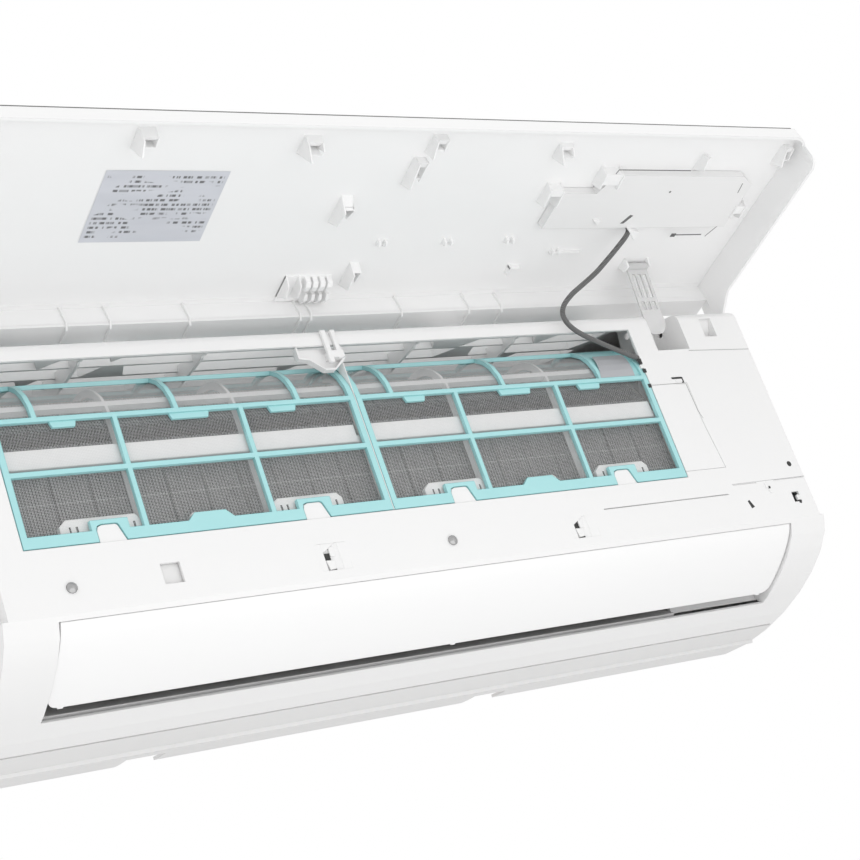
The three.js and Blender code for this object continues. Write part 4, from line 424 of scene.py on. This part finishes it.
def smooth_copy(node, material, angle):
    """The node's own shape with its round stretches shaded as round"""
    mesh = frame["nodes"][node].data.copy()
    work = bmesh.new()
    work.from_mesh(mesh)
    if node == "front_panel":
        lower_short_hooks(work)
    bmesh.ops.remove_doubles(work, verts=work.verts, dist=MERGE_REACH)
    bmesh.ops.dissolve_limit(work, angle_limit=FLAT_ANGLE, verts=work.verts, edges=work.edges)
    work.to_mesh(mesh)
    work.free()
    mesh.polygons.foreach_set("use_smooth", [True] * len(mesh.polygons))
    mesh.set_sharp_from_angle(angle=math.radians(angle))
    piece = link_piece(f"{node}_surface", mesh, material, body_of(node))
    weights = piece.modifiers.new("weights", "WEIGHTED_NORMAL")
    weights.keep_sharp = True
    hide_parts(node)


def finish_nodes():
    for material, nodes in NODE_FINISHES.items():
        for node in nodes:
            if node in ROUND_NODES:
                smooth_copy(node, material, ROUND_NODES[node])
            else:
                mesh = frame["nodes"][node].data
                mesh.materials.clear()
                mesh.materials.append(material)


def front_point(x, distance, proud):
    """A point by the casing's front: so far up from the sill and so far out from the face"""
    return Vector((
        x,
        -FRONT_DEPTH + distance * math.sin(FRONT_LEAN) - proud * math.cos(FRONT_LEAN),
        -SILL_DROP + distance * math.cos(FRONT_LEAN) + proud * math.sin(FRONT_LEAN),
    ))


def path_point(x, distance, proud):
    """A point of the filters' path: up the front, then round the arc"""
    if distance <= FILTER_RISE:
        return front_point(x, distance, proud)
    foot = front_point(x, FILTER_RISE, 0)
    centre_y = foot.y + FILTER_ARC * math.cos(FRONT_LEAN)
    centre_z = foot.z - FILTER_ARC * math.sin(FRONT_LEAN)
    angle = FRONT_LEAN + (distance - FILTER_RISE) / FILTER_ARC
    radius = FILTER_ARC + proud
    return Vector((x, centre_y - radius * math.cos(angle), centre_z + radius * math.sin(angle)))


def panel_point(x, along, deep):
    """A point by the open panel: so far from its root and so far in from its inner face"""
    return PANEL_ROOT + Vector((x, 0, 0)) + PANEL_AWAY * along + PANEL_INWARD * deep


NET_PITCH = 0.0012
NET_THREAD = 0.00016
NET_SEAT = 0.0009
NET_LEVEL = -FILTER_THICKNESS - NET_SEAT
NET_LAYER = 0.0002
NET_MARGIN = 0.0015
FOOT_MARGIN = NET_MARGIN * 3
ARC_STEPS = 16
ARC_THREAD_SHARE = 2.4


def ribbon(work, near, far):
    """Quads between two rows of points"""
    pairs = [(work.verts.new(a), work.verts.new(b)) for a, b in zip(near, far)]
    for (a, b), (c, d) in zip(pairs, pairs[1:]):
        work.faces.new((a, b, d, c))


def filter_net(side, start):
    """Threads up the filter's path, and threads across behind them"""
    length = FILTER_RISE + FILTER_ARC * FILTER_TAIL
    left, right = start + NET_MARGIN, start + FILTER_WIDTH - NET_MARGIN
    foot, head = FOOT_MARGIN, length - NET_MARGIN
    work = bmesh.new()
    arc = [FILTER_RISE + (head - FILTER_RISE) * i / ARC_STEPS for i in range(1, ARC_STEPS + 1)]
    stops = [foot, FILTER_RISE] + arc
    for i in range(int((right - left) / NET_PITCH)):
        x = left + i * NET_PITCH
        ribbon(
            work,
            [path_point(x, stop, NET_LEVEL) for stop in stops],
            [path_point(x + NET_THREAD, stop, NET_LEVEL) for stop in stops],
        )
    for i in range(int((head - foot) / NET_PITCH)):
        low = foot + i * NET_PITCH
        thread = NET_THREAD * (ARC_THREAD_SHARE if low > FILTER_RISE else 1)
        ribbon(
            work,
            [path_point(x, low, NET_LEVEL - NET_LAYER) for x in (left, right)],
            [path_point(x, low + thread, NET_LEVEL - NET_LAYER) for x in (left, right)],
        )
    mesh = bpy.data.meshes.new(f"net_{side}")
    work.to_mesh(mesh)
    work.free()
    piece = link_piece(f"net_{side}", mesh, net_thread, f"filter_{side}")
    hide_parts(f"filter_mesh_{side}")


def smoothed(points, steps):
    """A Catmull-Rom line through the points"""
    line = [points[0] * 2 - points[1], *points, points[-1] * 2 - points[-2]]
    fine = []
    for a, b, c, d in zip(line, line[1:], line[2:], line[3:]):
        for t in (i / steps for i in range(steps)):
            curve = (2 * b, (c - a) * t, (2 * a - 5 * b + 4 * c - d) * t**2, (3 * b - a - 3 * c + d) * t**3)
            fine.append(sum(curve, Vector()) / 2)
    return fine + [points[-1]]


def sweep(work, points, radius, sides):
    """A round tube with closed ends along the points"""
    rings = []
    across = Vector((1, 0, 0))
    for before, point, after in zip([points[0], *points], points, [*points[1:], points[-1]]):
        along = (after - before).normalized()
        across = (across - along * across.dot(along)).normalized()
        up = along.cross(across)
        turns = [2 * math.pi * i / sides for i in range(sides)]
        spokes = [across * math.cos(t) + up * math.sin(t) for t in turns]
        rings.append([work.verts.new(point + radius * spoke) for spoke in spokes])
    for low, high in zip(rings, rings[1:]):
        for i in range(sides):
            j = (i + 1) % sides
            work.faces.new((low[i], low[j], high[j], high[i])).smooth = True
    work.faces.new(rings[0][::-1])
    work.faces.new(rings[-1])


CABLE_STEPS = 5
CABLE_SIDES = 14


def display_cable():
    points = [Vector(place) for place in CABLE_ROUTE]
    line = smoothed(points, CABLE_STEPS)
    work = bmesh.new()
    sweep(work, line, CABLE_RADIUS, CABLE_SIDES)
    bmesh.ops.recalc_face_normals(work, faces=work.faces)
    mesh = bpy.data.meshes.new("display_lead")
    work.to_mesh(mesh)
    work.free()
    mesh.materials.append(sleeve)
    piece = bpy.data.objects.new("display_lead", mesh)
    bpy.context.scene.collection.objects.link(piece)
    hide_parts("display_cable")
    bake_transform(piece)


# Moulded fittings, with their measures in millimetres

MM = 0.001
SUNK = -0.5
CHEEK = 1.4
MARK_ROOT = -0.3
MARK_LIFT = 0.06
SEAM_LIFT = 0.05
DISC_SIDES = 24


def on_panel(x, along, deep):
    return panel_point(x * MM, along * MM, deep * MM)


def across_panel(along, deep, x):
    return on_panel(x, along, deep)


def on_front(x, distance, proud):
    return front_point(x * MM, distance * MM, proud * MM)


def across_front(distance, proud, x):
    return on_front(x, distance, proud)


def wedge_front(x, proud, distance):
    return on_front(x, distance, proud)


def on_path(x, distance, proud):
    return path_point(x * MM, distance * MM, proud * MM)


def rectangle(left, right, low, high):
    return [(left, low), (right, low), (right, high), (left, high)]


def disc(x, y, radius):
    turns = [2 * math.pi * i / DISC_SIDES for i in range(DISC_SIDES)]
    return [(x + radius * math.cos(t), y + radius * math.sin(t)) for t in turns]


def stroke(points, width):
    """Outlines of narrow bars from each point to the next"""
    bars = []
    for (x0, y0), (x1, y1) in zip(points, points[1:]):
        length = math.hypot(x1 - x0, y1 - y0)
        dx, dy = (x1 - x0) / length * width / 2, (y1 - y0) / length * width / 2
        bars.append([(x0 - dx - dy, y0 - dy + dx), (x0 - dx + dy, y0 - dy - dx),
                     (x1 + dx + dy, y1 + dy - dx), (x1 + dx - dy, y1 + dy + dx)])
    return bars


def prism(work, corner, outline, low, high):
    """A closed prism of the outline, between two levels of the third measure"""
    rings = [[work.verts.new(corner(u, v, level)) for u, v in outline] for level in (low, high)]
    work.faces.new(rings[0][::-1])
    work.faces.new(rings[1])
    for i in range(len(outline)):
        j = (i + 1) % len(outline)
        work.faces.new((rings[0][i], rings[0][j], rings[1][j], rings[1][i]))


def fitting(name, parts, material, body, edge=0.0):
    """Moulded detail made of closed prisms"""
    work = bmesh.new()
    for part in parts:
        prism(work, *part)
    bmesh.ops.recalc_face_normals(work, faces=work.faces)
    mesh = bpy.data.meshes.new(name)
    work.to_mesh(mesh)
    work.free()
    piece = link_piece(name, mesh, material, body)
    if edge:
        bevel = piece.modifiers.new("edges", "BEVEL")
        bevel.width = edge * MM
        bevel.segments = 2


# Low hooks of the panel's own mesh: x, place along the panel, width and length
SHORT_HOOKS = [
    (-262, 169, 14, 30), (-120, 167.5, 13, 35), (-2.4, 170, 11, 30), (-10.4, 141, 11, 34),
    (-61.6, 99.1, 9, 34), (-20.8, 28, 5, 38), (130.4, 168, 11, 36), (294, 165.1, 4, 28),
    (387.6, 167.1, 11, 38),
]
HOOK_SLACK = 0.2
HOOK_FROM, HOOK_TO = 0.3, 8
HOOK_STUB = 0.02


def lower_short_hooks(work):
    """Makes room on the panel's inner face for the full catches"""
    for vert in work.verts:
        offset = vert.co - PANEL_ROOT
        along, deep = offset.dot(PANEL_AWAY) / MM, offset.dot(PANEL_INWARD) / MM
        for x, place, width, length in SHORT_HOOKS:
            beside = abs(vert.co.x / MM - x) < width / 2 + HOOK_SLACK
            if beside and abs(along - place) < length / 2 + HOOK_SLACK and HOOK_FROM < deep < HOOK_TO:
                vert.co -= PANEL_INWARD * (deep - HOOK_STUB) * MM
                break


# Each catch: x, width, base from and to along the panel, shoulder and tip with their depths
PANEL_CATCHES = [
    (-262, 14, 163, 183.5, (181, 13), (169.5, 18.5)),
    (-120, 15, 160.5, 179, (177, 9), (169.5, 22)),
    (-2.4, 13, 163.5, 183, (182, 9), (167, 13)),
    (-10.4, 11, 129, 158.7, (158.7, 9.6), (135, 13)),
    (-61.6, 11, 88, 118, (110, 14), (94.5, 12.4)),
    (-20.8, 9, 16.5, 43, (38.7, 12), (22.7, 13.4)),
    (130.4, 14, 160, 177, (175, 5), (166, 17)),
    (294, 5, 148, 168, (169, 9), (157.4, 11.3)),
    (387.6, 11, 157.5, 181, (180, 7.4), (164, 13)),
]
CATCH_WALL = 1.5
NOSE_LENGTH = 6
SMALL_TIP_STEP = 4


def catch_parts(x, width, low, high, shoulder, tip):
    """Two cheeks, the nose between their tops and a cross wall below it"""
    left, right = x - width / 2, x + width / 2
    top, rise = shoulder
    small_foot, wall_foot = low + (high - low) * 0.35, low + (high - low) * 0.4
    nose_foot = high - NOSE_LENGTH
    small_tip = (tip[0] + SMALL_TIP_STEP, tip[1] * 0.6)
    cheek = [(low, SUNK), (high, SUNK), shoulder, tip]
    small = [(small_foot, SUNK), (high, SUNK), (top, rise * 0.8), small_tip]
    nose = [(nose_foot, SUNK), (high, SUNK), (top, rise * 0.75), (nose_foot, rise * 0.6)]
    wall = rectangle(wall_foot, wall_foot + CATCH_WALL, SUNK, tip[1] * 0.55)
    inside = (left + CATCH_WALL / 2, right - CATCH_WALL / 2)
    return [
        (across_panel, cheek, left, left + CATCH_WALL),
        (across_panel, small, right - CATCH_WALL, right),
        (across_panel, nose, *inside),
        (across_panel, wall, *inside),
    ]


COMB_START = -64
COMB_PITCH = 7
COMB_TEETH = 4


def comb_parts():
    """Two rows of teeth beside a slanted cheek, near the panel's root"""
    cheek = [(4, SUNK), (30, SUNK), (25, 9), (15, 12)]
    upper_tooth = [(17, SUNK), (29, SUNK), (27, 6.5), (23, 8.5), (18, 8)]
    lower_tooth = [(1, SUNK), (14, SUNK), (13, 7), (8, 9), (2, 6)]
    parts = [(on_panel, rectangle(-82, -37, 0, 29), SUNK, 1.2)]
    parts += [(across_panel, cheek, x, x + CHEEK) for x in (-82, -70)]
    for i in range(COMB_TEETH):
        x = COMB_START + COMB_PITCH * i
        parts.append((across_panel, upper_tooth, x, x + 5))
        parts.append((across_panel, lower_tooth, x + 4, x + 7.4))
    return parts


# Each pair of nubs: its middle's x and its place along the panel
NUB_PAIRS = [(-4.8, 65.3), (62.6, 65.3), (128.6, 66.3), (187.6, 51.8)]
NUB_WIDTH = 2.2


def nub_parts():
    """Pairs of nubs, an angled rib, a bar and the step along the panel's root"""
    parts = []
    for x, place in NUB_PAIRS:
        lean = [(place - 3.5, SUNK), (place + 3.5, SUNK), (place + 2.5, 4), (place - 1, 5)]
        parts += [(across_panel, lean, at, at + NUB_WIDTH) for at in (x - 4.5, x + 2.2)]
    return parts + [
        (across_panel, rectangle(27, 36, SUNK, 5), 145, 146.6),
        (across_panel, rectangle(33.5, 35.2, SUNK, 4.5), 145, 157),
        (on_panel, rectangle(182, 217, 50, 52), SUNK, 3),
        (on_panel, rectangle(-396, 396, 4.2, 5.2), SUNK, 0.3),
    ]


def cover_parts():
    """Clips that hold the display cover, and the hoods over its openings"""
    left_clip = [(110, SUNK), (133, SUNK), (130, 9), (113, 10.5)]
    top_clip = [(131, SUNK), (153, SUNK), (149, 10.5), (135, 11.5)]
    side_clip = [(94, SUNK), (117, SUNK), (112, 9.5), (99, 10.5)]
    parts = [(across_panel, left_clip, x, x + CHEEK) for x in (135, 149)]
    parts += [(across_panel, top_clip, x, x + CHEEK) for x in (184, 204)]
    parts += [(across_panel, side_clip, x, x + CHEEK) for x in (365, 376)]
    return parts + [
        (across_panel, rectangle(124, 131, SUNK, 8.8), 136, 149.5),
        (across_panel, rectangle(138, 150, SUNK, 9.5), 185, 204.5),
        (across_panel, rectangle(103, 112, SUNK, 8.6), 366, 376.5),
        (on_panel, [(245, 88), (263, 83), (261, 74)], 7.5, 11.5),
        (on_panel, [(201, 97), (209, 97), (209, 91)], 7.5, 10),
    ]


COVER_FACE = 8.0
COVER_GAPS = [
    ([(195.8, 149), (197, 154.6), (280, 154.6)], 0.8),
    ([(354, 139.6), (355.6, 129)], 0.9),
    ([(308, 76.6), (344, 76.6)], 1.1),
    ([(351, 74.6), (357.7, 86.5)], 0.7),
]


def cover_marks():
    """Painted shade: dark grey marks in the gaps, the slots and the cable's way out of the cover"""
    lift = (COVER_FACE - 0.2, COVER_FACE + MARK_LIFT)
    cable_way = [(236, 91.5), (240, 91.5), (246, 101), (242, 102)]
    spots = [bar for points, width in COVER_GAPS for bar in stroke(points, width)]
    spots += [rectangle(307, 312.5, 74.2, 78.4), disc(271.8, 129.4, 1.2), cable_way]
    return [(on_panel, spot, *lift) for spot in spots]


PANEL_EDGE = (196.6, 197.04)
PANEL_SKIN = (-3.02, -1.9)
EDGE_LINE_REACH = 382


def edge_marks():
    """The dark line of the outer skin along the panel's free edge"""
    return [(across_panel, rectangle(*PANEL_EDGE, *PANEL_SKIN), -EDGE_LINE_REACH, EDGE_LINE_REACH)]


# Latch holes of the casing's front: edges of the part's hole, and where the latch's way in starts
LATCH_HOLES = [(-139.1, -112.1, -44.5, -23.5, -134), (107.1, 136.1, -44, -26, 112.5)]
LATCH_DEPTH = -4.5
HOLE_LAP = 1.5
FACE = 0.23
# Parting lines of the casing: their points and width
SEAM_LINES = [
    ([(320, 123.6), (394.5, 121.4)], 0.5),
    ([(304.5, -12.4), (396, -12.2)], 0.35),
    ([(151, -21.4), (296, -21.6)], 0.35),
    ([(258, 91), (285, 91), (299.5, 90), (300.5, 62.6), (303, 54.5)], 0.3),
]


def casing_parts():
    """Levers in the latch holes, clips round the wiring cover and the raised marks beside it"""
    parts = []
    for left, right, low, high, at in LATCH_HOLES:
        ends = (low - HOLE_LAP, high + HOLE_LAP)
        corner = [(at - 0.5, ends[1]), (at + 12.5, ends[1]), (at - 0.5, high - 6)]
        ramp = [(at - 0.5, -5.5), (at + 14.5, -5.5), (at + 14.5, FACE), (at + 12, -0.6), (at - 0.5, -4)]
        lever = [(at + 0.5, low + 9), (at + 8, low + 8.5), (at + 7, low + 1.5), (at + 2, low + 1)]
        parts += [
            (on_front, rectangle(left - HOLE_LAP, at, *ends), LATCH_DEPTH, FACE),
            (on_front, rectangle(at + 14, right + HOLE_LAP, *ends), LATCH_DEPTH, FACE),
            (on_front, corner, LATCH_DEPTH, FACE),
            (wedge_front, ramp, *ends),
            (on_front, lever, LATCH_DEPTH, FACE - 0.1),
            (on_front, rectangle(at + 6, at + 10.5, high - 9, high - 1), LATCH_DEPTH, -0.5),
        ]
    return parts + [
        (across_front, [(137, -11.5), (156, -3), (156, -4.5), (137, -13)], 347.4, 362.5),
        (on_front, rectangle(288.5, 296.5, 92.2, 95.4), -1, 0.6),
        (on_front, rectangle(254, 257.5, 108.5, 112), -1.5, 0.7),
        (on_front, rectangle(376.3, 381.5, -34.5, -29.5), -2, 0.5),
        (on_front, disc(347.8, -22.4, 2.6), -0.4, 0.9),
        (on_front, rectangle(343, 346.5, -20, -14.6), -0.4, 0.9),
    ]


def casing_marks():
    """Openings and parting lines that show dark, with near-black marks laid in them as painted shade"""
    lift = (MARK_ROOT, FACE + MARK_LIFT)
    parts = []
    # Painted shade: near-black plates inside each latch hole
    for _, _, low, _, at in LATCH_HOLES:
        parts.append((on_front, rectangle(at + 0.3, at + 6, low + 9, low + 15), LATCH_DEPTH, -1.4))
        parts.append((on_front, rectangle(at + 3, at + 8.5, low - 0.3, low + 1.8), LATCH_DEPTH, -1.2))
    slanted_slot = [(314.6, -30), (317, -29), (320.5, -36), (316.5, -37.3)]
    spots = [
        disc(383.9, 1.4, 2.6), disc(378.2, -36.4, 1.7), slanted_slot,
        rectangle(286, 297.5, 95.6, 97.2), rectangle(295.8, 298.2, 91.4, 97),
        rectangle(254.6, 258, 113.2, 118.4), rectangle(255.4, 259, 104.2, 108),
        rectangle(254.2, 257.8, 88.9, 92.6),
    ]
    parts += [(on_front, spot, *lift) for spot in spots]
    return parts + [(on_front, disc(347, -19.4, 1.3), -0.4, 0.95)]


def seam_marks():
    """Fine lines where the casing's mouldings meet"""
    bars = [bar for points, width in SEAM_LINES for bar in stroke(points, width)]
    return [(on_front, bar, MARK_ROOT, FACE + SEAM_LIFT) for bar in bars]


# Combs and tabs that stand behind the nets above the sill, and the crossbar behind their middle
SILL_COMBS = [(-337, -272), (-161, -97), (-18, 43), (162, 221)]
SILL_TABS = [(-232, -199), (86, 118)]
CROSSBARS = [(-366, -64), (-53, 252)]
COMB_BACK, COMB_FRONT = -10, -5.1


def sill_parts():
    """Combs and tabs with slanted shoulders, and the crossbars"""
    parts = []
    for left, right in SILL_COMBS:
        bar = [(left, 2), (right, 2), (right, 17), (right - 4, 21.5), (left + 6, 21.5), (left, 16.5)]
        parts.append((on_front, bar, COMB_BACK, COMB_FRONT))
    for left, right in SILL_TABS:
        tab = [(left, 4), (right, 4), (right, 15), (right - 3, 17.5), (left + 3, 17.5), (left, 15)]
        parts.append((on_front, tab, COMB_BACK, COMB_FRONT))
    return parts + [(on_front, rectangle(left, right, 63, 78.5), -7, COMB_FRONT) for left, right in CROSSBARS]


def sill_marks():
    """Painted shade: near-black marks in the slits between the teeth of each comb"""
    parts = []
    for left, right in SILL_COMBS:
        for x in (left + 7, left + 12.5, right - 7):
            parts.append((on_front, rectangle(x, x + 1.6, 9, 15.5), COMB_FRONT - 0.2, COMB_FRONT + SEAM_LIFT))
    return parts


SHADE_STRIPS = 4
SHADE_LIFT = 0.07


def corner_shade_parts():
    """Grey sheet on the plate in the right filter's upper corner, in strips round the arc, as painted shade
    """
    edges = [(204 + 2 * i, 243.5 + i, 102 + 7 * i) for i in range(SHADE_STRIPS + 1)]
    return [
        (on_path, [(l0, s0), (r0, s0), (r1, s1), (l1, s1)], MARK_ROOT, SHADE_LIFT)
        for (l0, r0, s0), (l1, r1, s1) in zip(edges, edges[1:])
    ]


def fittings():
    catches = [part for catch in PANEL_CATCHES for part in catch_parts(*catch)]
    fitting("panel_catches", catches, panel_white_lit, "panel", 0.25)
    fitting("panel_comb", comb_parts(), panel_white_lit, "panel", 0.3)
    fitting("panel_nubs", nub_parts(), panel_white_lit, "panel", 0.2)
    fitting("cover_clips", cover_parts(), panel_white_lit, "panel", 0.25)
    fitting("cover_gaps", cover_marks(), gap_grey, "panel")
    fitting("panel_edge_line", edge_marks(), gap_grey, "panel")
    fitting("corner_shade", corner_shade_parts(), shade_sheet_grey, "filter_right")
    fitting("casing_levers", casing_parts(), casing_white_shaded, "unit", 0.25)
    fitting("casing_gaps", casing_marks(), shade_dark, "unit")
    fitting("casing_seams", seam_marks(), seam_shade, "unit")
    fitting("sill_combs", sill_parts(), bracket_white, "unit", 0.5)
    fitting("sill_slits", sill_marks(), shade_dark, "unit")


def label():
    """The rating label's film on the panel's inner face"""
    corners = rectangle(LABEL_LEFT, LABEL_RIGHT, LABEL_LOW, LABEL_HIGH)
    work = bmesh.new()
    work.faces.new([work.verts.new(panel_point(x, along, LABEL_LIFT)) for x, along in corners])
    mesh = bpy.data.meshes.new("label")
    work.to_mesh(mesh)
    work.free()
    link_piece("panel_label", mesh, label_film, "panel")


# Light and surroundings

FLOOR_CLEAR = 0.7
FLOOR_REACH = 6
FLOOR_LEVEL = -0.6
WORLD_LEVEL = 0.93


def pale_floor():
    """White paper that keeps the shadow under the object and runs out into plain white"""
    finish = Finish("pale_floor", roughness=0.85)
    finish.feed(Base_Color=finish.mix(finish.noise(3, 2), grey(0.88), grey(0.86)))
    x, y, _ = finish.place().xyz()
    far = (((x * x + y * y) ** 0.5 - FLOOR_CLEAR) * 2).clamped(0, 1)
    seen = finish.node("ShaderNodeLightPath").output("Is Camera Ray")
    white = finish.node("ShaderNodeEmission", Color=(1, 1, 1, 1), Strength=1)
    paper = Link(finish, finish.shader.outputs[0])
    mixed = finish.node("ShaderNodeMixShader")
    for socket, link in zip(mixed.socket.node.inputs, (far * seen, paper, white)):
        finish.plug(socket, link)
    out = next(n for n in finish.tree.nodes if n.type == "OUTPUT_MATERIAL")
    finish.plug(out.inputs["Surface"], mixed)
    return finish.material


def floor():
    mesh = bpy.data.meshes.new("floor")
    corners = rectangle(-FLOOR_REACH, FLOOR_REACH, -FLOOR_REACH, FLOOR_REACH)
    mesh.from_pydata([(x, y, FLOOR_LEVEL) for x, y in corners], [], [(0, 1, 2, 3)])
    mesh.materials.append(pale_floor())
    piece = bpy.data.objects.new("floor", mesh)
    bpy.context.scene.collection.objects.link(piece)


def lamp(name, place, aim, size, power):
    data = bpy.data.lights.new(name, "AREA")
    data.shape = "SQUARE"
    data.size = size
    data.energy = power
    lamp_object = bpy.data.objects.new(name, data)
    lamp_object.location = place
    way = Vector(aim) - Vector(place)
    lamp_object.rotation_euler = way.to_track_quat("-Z", "Y").to_euler()
    bpy.context.scene.collection.objects.link(lamp_object)


def larger(tree, first, second):
    node = tree.nodes.new("ShaderNodeMath")
    node.operation = "MAXIMUM"
    tree.links.new(first, node.inputs[0])
    tree.links.new(second, node.inputs[1])
    return node.outputs[0]


def backdrop(tree, level):
    node = tree.nodes.new("ShaderNodeBackground")
    node.inputs["Color"].default_value = (1, 1, 1, 1)
    node.inputs["Strength"].default_value = level
    return node.outputs[0]


def sky():
    """Soft light from all round, seen as plain white by the camera, in mirrors and through clear plastic"""
    world = bpy.data.worlds.new("studio")
    world.use_nodes = True
    bpy.context.scene.world = world
    tree = world.node_tree
    tree.nodes.clear()
    rays = tree.nodes.new("ShaderNodeLightPath").outputs
    seen = larger(tree, rays["Is Camera Ray"], rays["Is Glossy Ray"])
    mixed = tree.nodes.new("ShaderNodeMixShader")
    tree.links.new(larger(tree, seen, rays["Is Transmission Ray"]), mixed.inputs["Fac"])
    tree.links.new(backdrop(tree, WORLD_LEVEL), mixed.inputs[1])
    tree.links.new(backdrop(tree, 1), mixed.inputs[2])
    out = tree.nodes.new("ShaderNodeOutputWorld")
    tree.links.new(mixed.outputs[0], out.inputs["Surface"])


place_camera()
display_cable()
finish_nodes()
for side, start in (("left", FILTER_START), ("right", FILTER_START + FILTER_PITCH)):
    filter_net(side, start)
label()
fittings()
floor()
sky()
lamp("key", (0.9, -2.6, 0.9), (0, -0.1, 0.05), 1.8, 1.5)
lamp("bounce", (-0.1, -0.8, -0.5), (0, -0.15, 0.2), 1.5, 5)
bpy.context.scene.view_settings.view_transform = "Standard"
